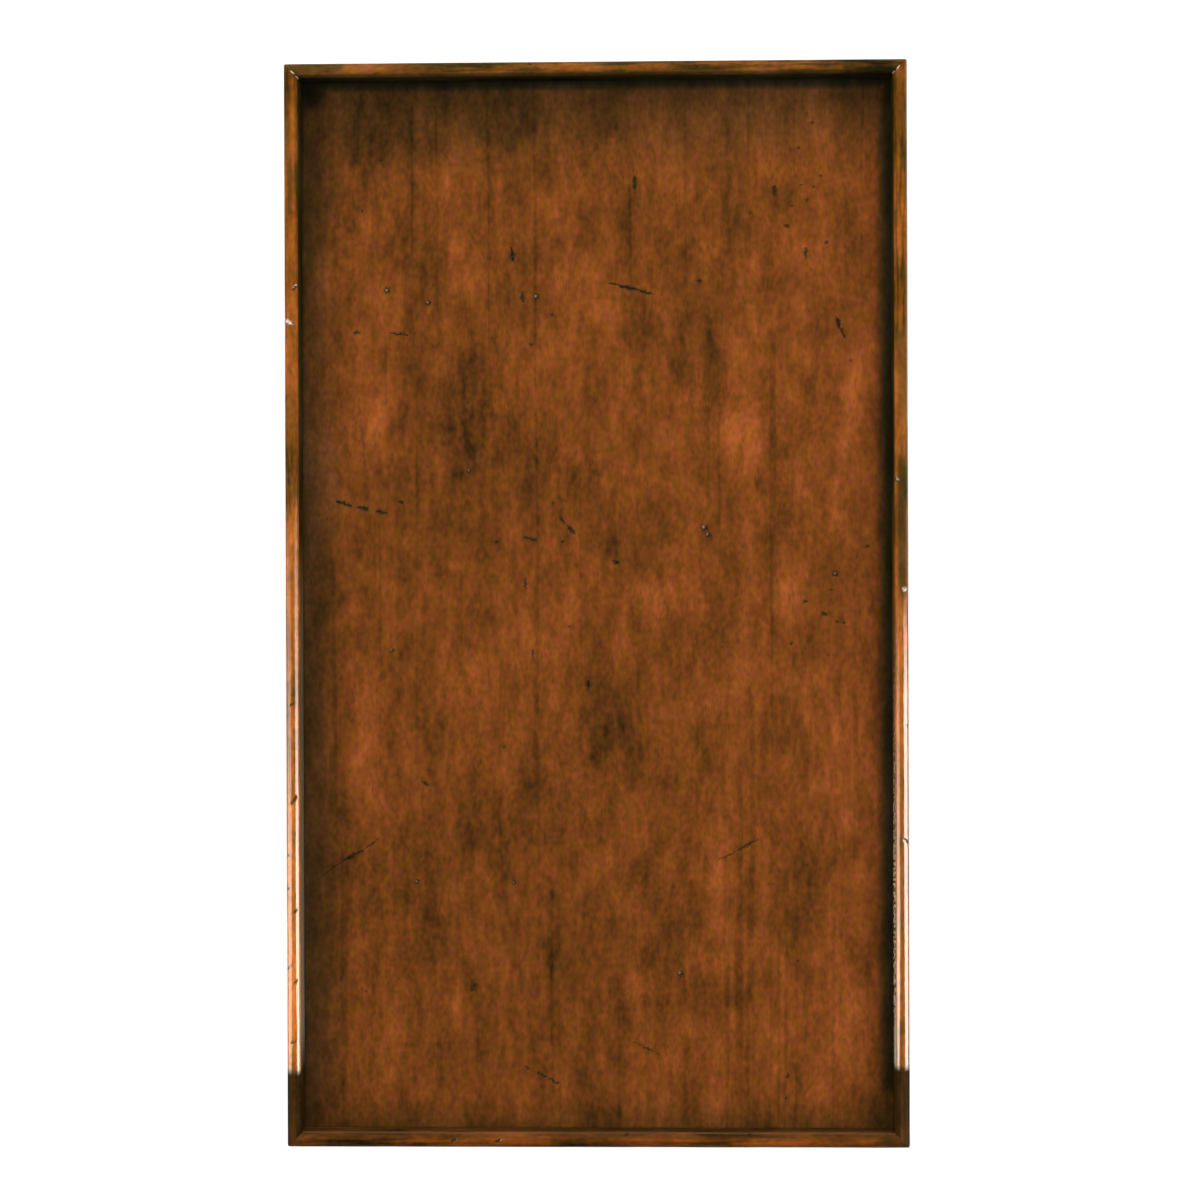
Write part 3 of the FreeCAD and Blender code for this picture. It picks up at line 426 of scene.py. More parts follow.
PATCHES = [  # x, y, half width, half length, and how much lighter or darker
    (-137, 127, 14, 74, 0.35), (-133, 112, 6, 17, 0.60), (86, 106, 12, 12, 0.60), (111, 144, 19, 56, 0.42),
    (124, 141, 7, 28, 0.28), (157, 126, 9, 37, 0.60), (41, 6, 20, 11, 0.75), (9, 182, 14, 9, 0.50),
    (-12, 210, 9, 7, 0.40), (-96, 263, 6, 11, 0.50), (-81, 201, 10, 6, 0.40), (-29, 243, 5, 9, 0.35),
    (136, 225, 10, 14, 0.40), (145, 271, 12, 12, 0.35), (120, 9, 10, 14, 0.60), (-143, -96, 10, 34, 0.60),
    (148, -90, 14, 50, 0.70), (83, -53, 19, 25, 0.35), (71, -168, 11, 20, 0.60), (1, -166, 9, 10, 0.50),
    (104, -217, 11, 11, 0.45), (73, -220, 12, 9, 0.35), (-90, -242, 9, 14, 0.55), (-92, -171, 5, 19, 0.40),
    (153, -248, 14, 34, 0.50), (-35, -19, 9, 12, 0.35), (-78, -28, 7, 12, 0.25), (57, -264, 5, 9, 0.35),
    (-112, 189, 7, 59, -0.50), (-75, 114, 21, 40, -0.40), (-86, 80, 6, 6, -0.50), (15, -75, 15, 28, -0.65),
    (-5, -49, 6, 9, -0.60), (-62, -137, 12, 19, -0.75), (-20, -214, 16, 25, -0.50),
    (-11, -211, 6, 12, -0.35), (31, -219, 9, 9, -0.50), (41, -208, 5, 9, -0.35), (15, -254, 6, 10, -0.50),
    (126, -162, 7, 12, -0.50), (126, -192, 7, 14, -0.50), (166, -217, 7, 11, -0.60),
    (-5, 238, 10, 17, -0.40), (25, 170, 9, 9, -0.45), (74, 163, 5, 31, -0.45), (142, 132, 9, 25, -0.45),
    (133, 175, 6, 12, -0.30), (9, 37, 5, 7, -0.45), (-19, 43, 6, 9, -0.35), (-116, -28, 10, 9, -0.40),
    (70, -10, 12, 19, -0.40), (151, 15, 14, 10, -0.35), (-97, -146, 25, 31, -0.25), (108, 256, 5, 6, -0.30),
    (81, 280, 9, 19, -0.25), (86, 70, 9, 7, -0.30), (105, 52, 7, 19, -0.25), (-78, 28, 25, 15, -0.25),
    (-16, -290, 9, 11, -0.30), (27, -303, 5, 6, -0.35), (42, -248, 9, 6, -0.40), (85, -245, 10, 5, -0.30),
    (-98, -283, 5, 12, -0.30), (-143, 81, 4, 15, -0.40), (-160, -161, 9, 10, -0.25),
    (-135, -186, 19, 12, -0.20), (-168, -70, 9, 120, -0.24), (-166, -215, 11, 90, -0.30),
    (-148, 288, 38, 20, -0.55), (-30, 298, 50, 11, -0.25), (160, 190, 16, 60, 0.35),
    (160, -115, 14, 45, 0.75), (-170, 75, 12, 45, 0.65), (158, 38, 14, 35, 0.60), (-176, 25, 8, 25, 0.40),
    (-81, -270, 10, 22, 0.50), (88, -266, 12, 22, 0.50), (95, -148, 12, 22, 0.45),
    (153, -186, 10, 20, 0.45), (-172, -155, 9, 30, 0.35), (108, -45, 9, 40, 0.45), (84, 255, 16, 30, -0.65),
    (-14, 282, 14, 22, -0.55), (-12, -24, 12, 16, -0.60), (-100, 198, 28, 20, -0.50),
    (-8, -153, 12, 18, -0.50), (-124, -65, 14, 22, -0.45), (-41, 239, 10, 16, -0.40),
    (-150, 212, 10, 16, -0.40), (-6, 176, 14, 18, -0.40), (145, 156, 10, 20, -0.40),
    (76, -95, 10, 18, -0.40), (88, 221, 8, 14, -0.35), (174, 259, 7, 45, -0.45), (-60, 52, 9, 18, -0.42),
    (-58, -50, 9, 18, -0.42), (137, -20, 9, 36, -0.45), (-10, -247, 8, 14, -0.42), (84, 40, 10, 16, -0.40),
    (70, -30, 9, 14, -0.40), (-119, -312, 16, 10, -0.35), (-73, 248, 10, 14, -0.30),
    (-33, -265, 8, 14, 0.42), (21, 199, 12, 10, 0.40), (-150, -236, 14, 24, 0.42), (66, -206, 20, 18, 0.38),
    (-168, 70, 12, 36, 0.35),
]
Stroke = namedtuple("Stroke", "ax ay bx by half depth dark glint taper", defaults=(0.0, 0.0))
strokes = [Stroke(*row[:4], row[4] / 2, row[5], row[6], taper=row[7]) for row in GOUGES]
# worm holes carry a pale painted glint beside their middle, a painted highlight
strokes += [Stroke(x, y, x, y, radius, depth=0.9, dark=0.9, glint=0.7) for x, y, radius in HOLES]
strokes += [Stroke(x, y, x, y + 0.8, half=1.2, depth=0.15, dark=0.72) for x, y in SPOTS]
strokes += [Stroke(*ends, half=0.6, depth=0.03, dark=0.15) for ends in GRAIN_LINES]
print("marks", len(strokes), "and", len(PATCHES), "patches")

# %% Board mesh
MARK_SHIFT = 0.9  # noise moves the outline of a mark by up to so many millimetres


def off_stroke(x, y, stroke):
    """How far a point is from a stroke, and how far along it, 0 to 1."""
    ax, ay, bx, by = stroke[:4]
    run_x, run_y = bx - ax, by - ay
    length = run_x * run_x + run_y * run_y
    along = max(0.0, min(1.0, ((x - ax) * run_x + (y - ay) * run_y) / length)) if length else 0.5
    return math.hypot(x - ax - along * run_x, y - ay - along * run_y), along


def marked(x, y, near):
    """How deep and how dark a point is by the strokes near it, and how bright its painted glint is."""
    depth = dark = glint = 0.0
    shift_x, shift_y = (MARK_SHIFT * noise.noise(Vector((0.55 * x, 0.55 * y, z))) for z in (3.3, 13.3))
    ragged = 1.0 + 0.75 * noise.noise(Vector((1.3 * x, 1.3 * y, 0.0)))
    broken = min(1.0, 0.86 + 0.6 * noise.noise(Vector((0.9 * x, 0.9 * y, 7.0))))
    for stroke in near:
        off, along = off_stroke(x + shift_x, y + shift_y, stroke)
        thin = 1 - stroke.taper * along if stroke.taper > 0 else 1 + stroke.taper * (1 - along)
        half = stroke.half * thin * (1 - 0.55 * (2 * along - 1) ** 2)
        t = off * ragged / half
        depth = max(depth, stroke.depth * max(0.0, 1 - t * t))
        dark = max(dark, stroke.dark * broken * math.exp(-1.1 * t * t))
        lit = math.hypot(x - stroke.ax + 0.4 * half, y - stroke.ay - 0.4 * half) / half
        glint = max(glint, stroke.glint * max(0.0, 1 - 1.6 * lit))
    return depth, dark, glint


def stained(x, y):
    amount = 0.0
    for px, py, rx, ry, strength in PATCHES:
        u, v = (x - px) / rx, (y - py) / ry
        if u * u + v * v < 7:
            amount += strength * math.exp(-(u * u + v * v) * 0.7)
    return amount


panel_low, panel_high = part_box("tray_panel")
lip_low, lip_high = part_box("tray_lip_right")
LIP_WIDTH = lip_high.x - lip_low.x
TRAY_HALF = Vector((cad_high.x, cad_high.y))
BOARD_HALF = TRAY_HALF - Vector((LIP_WIDTH, LIP_WIDTH))
TOP, UNDER = panel_high.z, panel_low.z
COARSE = 4 * MM
FINE = 8  # so many of the smallest cells lie along a coarse one
columns = round(2 * BOARD_HALF.x / COARSE) * FINE
rows = round(2 * BOARD_HALF.y / COARSE) * FINE


def lattice(i, j):
    return (2 * i / columns - 1) * BOARD_HALF.x / MM, (2 * j / rows - 1) * BOARD_HALF.y / MM


cells = []
waiting = [(i, j, FINE, strokes) for i in range(0, columns, FINE) for j in range(0, rows, FINE)]
while waiting:
    i, j, size, near = waiting.pop()
    x, y = lattice(i + size / 2, j + size / 2)
    # a mark reaches 2.4 times its half width, and a cell reaches half its diagonal
    near = [s for s in near if off_stroke(x, y, s)[0] < 2.4 * s.half + 0.36 * size + 0.2]
    if size == 1 or not near:
        cells.append((i, j, size, near))
        continue
    half = size // 2
    waiting += [(i + a, j + b, half, near) for a in (0, half) for b in (0, half)]
print("board cells", len(cells))

# %% Board from its cells
corners = {}
for i, j, size, near in cells:
    for place in ((i, j), (i + size, j), (i + size, j + size), (i, j + size)):
        corners.setdefault(place, []).extend(near)
number = {place: index for index, place in enumerate(corners)}
points, glazes, painted_glints, stains = [], [], [], []
for (i, j), near in corners.items():
    x, y = lattice(i, j)
    depth, dark, glint = marked(x, y, near) if near else (0.0, 0.0, 0.0)
    points.append((x * MM, y * MM, TOP - depth * MM))
    glazes.append(dark)
    painted_glints.append(glint)
    stains.append(stained(x, y))


def around(i, j, wide, high):
    """The numbers of all points on the outline of a block of cells."""
    places = [(i + n, j) for n in range(wide)] + [(i + wide, j + n) for n in range(high)]
    places += [(i + wide - n, j + high) for n in range(wide)] + [(i, j + high - n) for n in range(high)]
    return [number[place] for place in places if place in number]


faces = [around(i, j, size, size) for i, j, size, near in cells]
rim = around(0, 0, columns, rows)
below, count = len(points), len(rim)
points += [(points[n][0], points[n][1], UNDER) for n in rim]
for values in (glazes, painted_glints, stains):
    values += [0.0] * count
faces += [[rim[n], below + n, below + (n + 1) % count, rim[(n + 1) % count]] for n in range(count)]
faces.append([below + n for n in reversed(range(count))])


def paint(mesh, amounts):
    for title, values in amounts.items():
        mesh.attributes.new(title, "FLOAT", "POINT").data.foreach_set("value", values)


def smooth(mesh, degrees):
    """Soft shading, with a sharp edge where faces meet at a larger angle."""
    mesh.polygons.foreach_set("use_smooth", [True] * len(mesh.polygons))
    mesh.set_sharp_from_angle(angle=math.radians(degrees))


board_mesh = bpy.data.meshes.new("tray_board")
board_mesh.from_pydata(points, [], faces)
paint(board_mesh, {"glaze": glazes, "glint": painted_glints, "stain": stains})
smooth(board_mesh, 60)
board_mesh.validate()
board = bpy.data.objects.new("tray_board", board_mesh)
bpy.context.collection.objects.link(board)
print("tray board", len(points), "points,", len(faces), "faces")

# %% [markdown]
# ## The board's finish
# The board takes the cherry group with its painted marks and patches, and its worm holes a pale painted
# glint, a painted highlight. The dark along the lips is glaze and the lips' painted shadow on the board
# together, and so is the dark in the back-left and front-right corners. It is a rule, so it needs no painting
# on the mesh: it depends on how far a point is from each edge. A noise makes that distance uneven, and each
# edge has its own width, because a hand wiped the glaze and each lip casts its own painted shadow.

# %% Board finish
def finish_on(name):
    material = bpy.data.materials.new(name)
    material.use_nodes = True
    return material, material.node_tree, material.node_tree.nodes["Principled BSDF"]


def painted(tree, title):
    return put(tree, "ShaderNodeAttribute", attribute_name=title).outputs["Fac"]


def raise_grain(shader, height, depth):
    sockets = {"Strength": 1.0, "Distance": depth, "Height": height}
    bump = out(height.id_data, "ShaderNodeBump", sockets)
    fill(shader, {"Normal": bump})


# the line against each lip is the lip's painted contact shadow; the soft band is glaze and painted shadow
EDGES = (  # which way; the line against the lip, how wide and dark; the soft band, how wide, dark and uneven
    ("X", -1, 0.0040, 0.58, 0.027, 0.42, 0.020), ("X", 1, 0.0112, 0.86, 0.016, 0.08, 0.006),
    ("Y", 1, 0.0105, 0.92, 0.062, 0.33, 0.050), ("Y", -1, 0.0030, 0.33, 0.017, 0.24, 0.014),
)
# painted shade, with glaze, in the board's corners where two lips meet
DARK_CORNERS = ((-1, 1, 0.030, 0.95), (1, -1, 0.032, 0.42))  # which way, how far and how dark
board_finish, tree, shader = finish_on("tray board cherry")
place = own_place(tree)
apart = axes_of(place)
uneven = less(cloud(place, 26, 16, 2.0), 0.5)
dark = painted(tree, "glaze")
from_front = plus(apart["Y"], BOARD_HALF.y)
for axis, way, line, line_dark, band, band_dark, ragged in EDGES:
    edge = BOARD_HALF.x if axis == "X" else BOARD_HALF.y
    inwards = plus(times(apart[axis], -way), edge)
    # the painted shadow along the right lip fades out near the front
    if (axis, way) == ("X", 1):
        line_dark = spread(from_front, 0.014, 0.032, 0.10, line_dark)
    dark = larger(dark, spread(inwards, 0.0, line, line_dark, 0.0))
    inwards = plus(inwards, times(uneven, ragged))
    dark = larger(dark, spread(inwards, 0.0, band, band_dark, 0.0, "LINEAR"))
for way_x, way_y, wiped, corner_dark in DARK_CORNERS:
    away = vector_calc("DISTANCE", place, (way_x * BOARD_HALF.x, way_y * BOARD_HALF.y, TOP))
    away = plus(away, times(uneven, 0.02))
    dark = larger(dark, spread(away, 0.004, wiped, corner_dark, 0.0))
wood = cherry(place, dark, painted(tree, "stain"))
# the worm holes' pale painted glint, a painted highlight
colour = blend_colour(painted(tree, "glint"), wood["Color"], shade(206, 184, 152))
fill(shader, {"Base Color": colour, "Roughness": wood["Roughness"], "Specular IOR Level": 0.15})
raise_grain(shader, wood["Height"], 0.00003)
board.data.materials.append(board_finish)
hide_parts("tray_panel")
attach(board, "case")
print("board finish", len(tree.nodes), "nodes")

# %% [markdown]
# ## Lips
# Each lip is one moulding, 8.5 mm wide, with a rounded arris on both sides of its top, cut at 45 degrees at
# both ends. A moulding is a profile that follows a line, so Geometry Nodes make it: a rectangle whose top
# corners are filleted is swept along a line. The mitre is one sum. A point that is further in than the outer
# face belongs to a shorter length, so its distance along the lip is scaled by how far in it is.
#
# Wear is noise that takes a little wood off along the normal. The four lips share one tree, with other
# lengths, turns and seeds.

# %% Lip tree
LIP_STEP = 0.0008  # from one ring of points to the next, along a lip
PROFILE_STEP = 0.0009  # from one point of a ring to the next
LOWER_ARRIS = 0.0003


def hand_on(tree, geometry, finish):
    """The end of a tree: real geometry in its material."""
    real = out(tree, "GeometryNodeRealizeInstances", {0: geometry})
    finished = out(tree, "GeometryNodeSetMaterial", {"Geometry": real, "Material": finish})
    put(tree, "NodeGroupOutput", {0: finished})


def lip_moulding():
    tree = bpy.data.node_groups.new("lip moulding", "GeometryNodeTree")
    offer(tree, "INPUT", "Float", "Length", "Width", "Height", "Outer Arris", "Inner Arris")
    offer(tree, "INPUT", "Float", "Wear", "Seed", "Turn")
    offer(tree, "INPUT", "Vector", "Middle")
    offer(tree, "INPUT", "Material", "Finish")
    offer(tree, "OUTPUT", "Geometry", "Geometry")
    given = put(tree, "NodeGroupInput").outputs
    half = times(given["Length"], 0.5)
    start, end = from_axes(Y=times(half, -1.0)), from_axes(Y=half)
    line = out(tree, "GeometryNodeCurvePrimitiveLine", {"Start": start, "End": end})
    line = out(tree, "GeometryNodeResampleCurve", {"Curve": line, "Length": LIP_STEP}, mode="LENGTH")
    sockets = {"Width": given["Width"], "Height": given["Height"]}
    block = out(tree, "GeometryNodeCurvePrimitiveQuadrilateral", sockets)
    spot = axes_of(out(tree, "GeometryNodeInputPosition"))
    at_top = calc("LESS_THAN", spot["Y"], 0.0)
    arris = spread(spot["X"], -0.001, 0.001, given["Inner Arris"], given["Outer Arris"])
    radius = plus(times(at_top, arris), LOWER_ARRIS)
    sockets = {"Curve": block, "Radius": radius, "Count": 7}
    profile = out(tree, "GeometryNodeFilletCurve", sockets, mode="POLY")
    sockets = {"Curve": profile, "Length": PROFILE_STEP}
    profile = out(tree, "GeometryNodeResampleCurve", sockets, mode="LENGTH")
    sockets = {"Curve": line, "Profile Curve": profile, "Fill Caps": True}
    swept = out(tree, "GeometryNodeCurveToMesh", sockets)
    stretched = vector_calc("MULTIPLY", out(tree, "GeometryNodeInputPosition"), (120.0, 28.0, 120.0))
    sockets = {"Vector": stretched, "W": given["Seed"], "Scale": 1.0, "Detail": 2.0}
    rubbed = put(tree, "ShaderNodeTexNoise", sockets, noise_dimensions="4D").outputs["Fac"]
    loss = times(spread(rubbed, 0.45, 0.75), given["Wear"])
    sockets = {0: out(tree, "GeometryNodeInputNormal"), "Scale": times(loss, -1.0)}
    inwards = out(tree, "ShaderNodeVectorMath", sockets, operation="SCALE")
    worn = out(tree, "GeometryNodeSetPosition", {"Geometry": swept, "Offset": inwards})
    spot = axes_of(out(tree, "GeometryNodeInputPosition"))
    inset = less(times(given["Width"], 0.5), spot["X"])
    shorter = calc("DIVIDE", less(half, inset), half)
    mitred = from_axes(X=spot["X"], Y=times(spot["Y"], shorter), Z=spot["Z"])
    cut = out(tree, "GeometryNodeSetPosition", {"Geometry": worn, "Position": mitred})
    sockets = {"Geometry": cut, "Translation": given["Middle"], "Rotation": from_axes(Z=given["Turn"])}
    hand_on(tree, out(tree, "GeometryNodeTransform", sockets), given["Finish"])
    return tree


def grow(name, tree, points=(), **sizes):
    """A piece made by a tree on some points, with the tree's named inputs, as a plain mesh."""
    seed = bpy.data.objects.new(name, bpy.data.meshes.new(name + "_seed"))
    seed.data.from_pydata(points, [], [])
    bpy.context.collection.objects.link(seed)
    modifier = seed.modifiers.new("grow", "NODES")
    modifier.node_group = tree
    for socket in tree.interface.items_tree:
        if socket.in_out == "INPUT" and socket.name in sizes:
            modifier[socket.identifier] = sizes[socket.name]
    ready = seed.evaluated_get(bpy.context.evaluated_depsgraph_get())
    mesh = bpy.data.meshes.new_from_object(ready)
    seed.modifiers.clear()
    mesh.name = name
    seed.data = mesh
    return seed


LIP_MOULDING = lip_moulding()
print("lip moulding tree", len(LIP_MOULDING.nodes), "nodes")

# %% [markdown]
# ## The lips' finish
# The lips are lighter than the board. Hands have rubbed their arrises down to orange wood, and dark streaks
# of glaze lie between. Over the middle stretch of the side lips that lighter orange is painted light as well.
# Hands also polished them, more and more towards the front, so the strips of the studio show as white lines.
# The polish is the shader's coat, painted where hands reach. The front ends of the side lips and all outer
# faces have none, and stay raw and red; on the front ends that dark red is painted shade as well. The inner
# walls kept their glaze, painted darker towards the board as painted shade. A pale painted sheen lies on the
# walls, the arrises, the nicks and the back mitres, and on the right wall it covers real beads of wax.

# %% Lip finish
LIP_TINTS = {
    "left": (1.26, 1.36, 0.98), "right": (1.26, 1.36, 0.98),
    "back": (1.22, 1.42, 1.36), "front": (1.33, 1.16, 1.00),
}
# lighter orange for bare wood and painted light; darker red for raw wood and painted shade
BARE_AND_LIT_TINT = (2.65, 2.5, 2.95)
RAW_AND_SHADE_TINT = (0.68, 0.56, 0.66)


def tinted(colour, tint):
    return blend_colour(1.0, colour, (*tint, 1), "MULTIPLY")


def lip_finish(side):
    material, tree, shader = finish_on(f"lip cherry {side}")
    grain = "y" if side in ("left", "right") else "x"
    run = along_grain(own_place(tree), grain, (0.31, 0.17, 0.05))
    streaks = cloud(run, 420, 26, 2.0, 0.6)
    patches = cloud(run, 60, 14, 2.0)
    # the rub amount is rubbed bare wood together with painted light; the raw amount is raw wood together with
    # painted shade
    rubbed, raw_and_shaded = painted(tree, "rub_and_light"), painted(tree, "raw_and_shade")
    bald = larger(rubbed, times(raw_and_shaded, 0.4))
    glazed = times(spread(streaks, 0.42, 0.62), spread(patches, 0.36, 0.62, 0.25, 1.0))
    glazed = times(glazed, spread(bald, 0.0, 0.5, 1.0, 0.30))
    glazed = larger(times(glazed, 0.52), painted(tree, "glaze"))
    tone = times(less(patches, 0.5), spread(bald, 0.0, 0.5, -5.0, -2.5))
    wood = cherry(run, glazed, tone)
    colour = tinted(wood["Color"], LIP_TINTS[side])
    colour = blend_colour(rubbed, colour, tinted(colour, BARE_AND_LIT_TINT))
    colour = blend_colour(raw_and_shaded, colour, tinted(colour, RAW_AND_SHADE_TINT))
    # a pale painted sheen, a painted highlight, over real wax beads on the right wall
    colour = blend_colour(painted(tree, "wax_and_sheen"), colour, shade(238, 224, 192))
    rough = spread(streaks, 0.35, 0.65, 0.30, 0.42)
    fill(shader, {"Base Color": colour, "Roughness": rough, "Specular IOR Level": 0.01})
    fill(shader, {"Coat Weight": painted(tree, "polish"), "Coat Roughness": 0.10})
    raise_grain(shader, wood["Height"], 0.00004)
    return material


LIP_FINISH = {side: lip_finish(side) for side in LIP_TINTS}
print("lip finishes", sorted(LIP_FINISH))

# %% [markdown]
# ## Wear on the lips
# Nicks, smears of glaze and painted glints are listed where the picture has them. The rest follows rules,
# which ask how far in from the outer face a point is, and how far below the top: the wall keeps its glaze and
# is painted darker towards the board as painted shade, the arris is rubbed bare, the middle stretch of the
# side lips gets painted light and painted sheen, their front corners get painted shade, and hands polish the
# front half. Each rule is a ramp between two places in millimetres, so it can be read and changed. The
# amounts are painted on the mesh, and the finish takes them from there.

# %% Marks on the lips, in millimetres
NICKS = {  # from x, y to x, y, then width and depth, in millimetres
    "left": [
        (-190.2, 175.6, -185.0, 171.6, 1.5, 0.9), (-184.6, 193.6, -183.0, 196.0, 1.2, 0.7),
        (-186.4, -120.8, -184.0, -117.0, 1.6, 0.8), (-187.2, -60.8, -185.6, -60.0, 1.3, 0.5),
        (-185.4, -187.5, -184.0, -187.0, 1.4, 0.6), (-185.4, -231.0, -184.0, -230.0, 1.4, 0.6),
        (-187.0, -267.8, -185.0, -267.0, 1.2, 0.5), (-190.2, -153.4, -188.8, -152.8, 1.5, 0.6),
        (-190.2, -173.8, -188.8, -173.0, 1.3, 0.6), (-190.2, -222.2, -188.4, -221.6, 1.4, 0.6),
    ],
    "right": [
        (190.3, -146.0, 187.6, -143.8, 1.4, 0.8), (184.3, 74.6, 182.8, 76.2, 1.3, 0.6),
        (190.3, 7.4, 187.4, 9.6, 1.5, 0.8), (190.3, -74.4, 188.4, -73.2, 1.3, 0.6),
    ],
    "front": [
        (-89.0, -327.4, -86.6, -326.2, 1.5, 0.7), (-62.0, -327.8, -59.6, -327.0, 1.5, 0.7),
        (91.4, -324.4, 93.2, -323.6, 1.4, 0.6), (17.0, -324.4, 18.4, -323.6, 1.4, 0.5),
    ],
    "back": [(-41.0, 330.9, -39.0, 330.1, 1.4, 0.5), (61.0, 328.4, 63.0, 327.6, 1.3, 0.5)],
}
PAINTED_GLINTS = {  # x and y of pale painted glints in the nicks, painted highlights
    "left": [(-188.6, 174.4), (-187.0, 173.2)], "right": [(188.0, 8.6)], "front": [], "back": [],
}
SMEARS = {  # glaze left on a lip, from and to along it, from and to across it, and how dark
    "left": [(272, 330, 0.0, 4.0, 0.26), (236, 277, 2.2, 5.2, 0.34), (112, 165, 2.4, 5.0, 0.14)],
    "right": [
        (285, 330, 2.0, 6.5, 0.18), (112, 166, 1.0, 6.5, 0.24), (8, 88, 1.8, 6.5, 0.44),
        (-340, -289, 0.0, 4.6, 0.58),
    ],
    "front": [(-30, 40, 0.0, 5.0, 0.20), (-200, -180, 0.0, 8.5, 0.34), (172, 200, 0.0, 8.5, 0.46)],
    "back": [(-195, -152, 0.0, 6.4, 0.34), (-150, -80, 0.0, 6.4, 0.14)],
}
LIT_STRETCH_END = {"left": -285.4, "right": -282.5}  # y, where the painted light of a side lip ends and its front corner, painted darker, begins
POLISHED = {  # along which y the polish grows, and to how much, on the outer arris and on the inner one
    "left": ((-171.0, 64.0, 0.8), (-158.0, 77.0, 1.0)), "right": ((-59.0, 9.0, 1.0), (-208.0, 9.0, 1.0)),
}
print("nicks", {side: len(nicks) for side, nicks in NICKS.items()})

# %% How the lips age
def between(value, low, high):
    """0 below low, 1 above high, and even between them."""
    return max(0.0, min(1.0, (value - low) / (high - low)))


def within(value, low, high, soft):
    """1 from low to high, and 0 outside them, with soft ends."""
    return between(value, low - soft, low + soft) * (1 - between(value, high - soft, high + soft))


def smeared(side, along, inset):
    dark = 0.0
    shift = 6.0 * noise.noise(Vector((0.8 * inset, 0.02 * along, 2.0)))
    for start, stop, shallow, deep, amount in SMEARS[side]:
        dark = max(dark, amount * within(along + shift, start, stop, 5) * within(inset, shallow, deep, 0.6))
    return dark


def side_age(side, y, inset, sunk, wall, inner):
    """The age of a side lip, with painted light and sheen over its middle stretch and painted shade at its
    front corner.
    """
    end = LIT_STRETCH_END[side]
    corner = 1 - between(y, end - 2.2, end + 2.0)
    # the lit stretch is painted light: lighter wood, a lighter wall and pale painted sheen
    lit_stretch = (1 - between(y, 40.0, 85.0)) * (1 - corner)
    edge = 1 - between(inset, 0.5, 3.5)
    crest = between(inset, 6.2, 7.2) * (1 - wall)
    # glaze with painted shade: darker at the front corner and down the wall towards the board, lighter on the
    # wall in the lit stretch
    glaze = corner * (1 - wall) * (0.28 + 0.55 * edge + 0.35 * inner)
    glaze = max(glaze, wall * (0.58 + 0.02 * sunk - 0.34 * lit_stretch - 0.30 * corner))
    if side == "left":
        rub_and_light = 0.55 + 0.45 * (1 - between(y, -130.0, -20.0))
        wall_sheen = 0.38 * (1 - between(y, -250.0, 40.0)) * between(y, end, end + 24.0)
        arris_sheen = 0.30 * crest * (1 - between(y, -280.0, -180.0))
        wall_rub_and_light, reach = 1.7 * wall_sheen, 16.0
    else:
        front = 1 - between(y, -240.0, -60.0)
        beads = between(noise.noise(Vector((0.55 * y, 0.30 * sunk, 5.0))), 0.0, 0.20)
        outer = 1 - between(inset, 0.3, 1.5)
        rub_and_light = 0.46 * (1 - between(y, -25.0, 5.0)) + 0.50 * crest * front
        wall_sheen = max(beads, 0.8 - 0.8 * between(y, -262.0, -238.0)) * (1 - between(y, -170.0, 0.0))
        arris_sheen = 0.22 * crest * front + 0.22 * outer * between(y, -10.0, 20.0)
        wall_rub_and_light, reach = 0.25, 10.0
    outer_polish, inner_polish = [most * (1 - between(y, full, none)) for full, none, most in POLISHED[side]]
    polish = outer_polish + (inner_polish - outer_polish) * between(inset, 3.6, 4.8)
    wax_and_sheen = wall * wall_sheen * lit_stretch * (1 - between(sunk, reach, reach + 2.0)) + arris_sheen * (1 - corner)
    return glaze, lit_stretch * (rub_and_light + (wall_rub_and_light - rub_and_light) * wall), wax_and_sheen, polish * (1 - corner), corner


def lip_age(side, along, inset, sunk):
    """Glaze, bare wood, wax, polish and raw wood on a lip, with painted shade, light and sheen among them,
    by how far in and how far below the top, in mm.
    """
    wall = between(inset, 8.0, 8.3) * between(sunk, 2.0, 3.6)
    inner = between(inset, 5.2, 6.6) * (1 - wall)
    rub_and_light = wax_and_sheen = raw_and_shade = 0.0
    polish = 0.35 * between(inset, 0.5, 2.2)
    # the arris that faces the front is painted darker as painted shade, and the walls' glaze darkens towards
    # the board, also painted shade
    if side == "back":
        glaze = max(0.45 * between(inset, 6.4, 7.6) * (1 - wall), wall * (0.54 + 0.02 * sunk))
    elif side == "front":
        glaze = 0.03 + 0.20 * inner + 0.40 * (1 - between(inset, 0.8, 2.6))
        glaze = max(glaze, 0.40 * wall * between(sunk, 5.0, 9.0))
        wax_and_sheen = 0.06 * wall * (1 - between(sunk, 5.0, 8.0))
    else:
        glaze, rub_and_light, wax_and_sheen, polish, raw_and_shade = side_age(side, along, inset, sunk, wall, inner)
    glaze = max(glaze, (1 - wall) * smeared(side, along, inset))
    outside = between(sunk, 3.0, 6.0) * (1 - between(inset, 0.2, 0.6))
    kept = 1 - outside
    return glaze * (1 - 0.8 * outside), rub_and_light * kept, wax_and_sheen * kept, polish * kept, max(raw_and_shade, outside)


print("glaze half way down the back lip's wall", round(lip_age("back", 0.0, 8.4, 9.0)[0], 2))

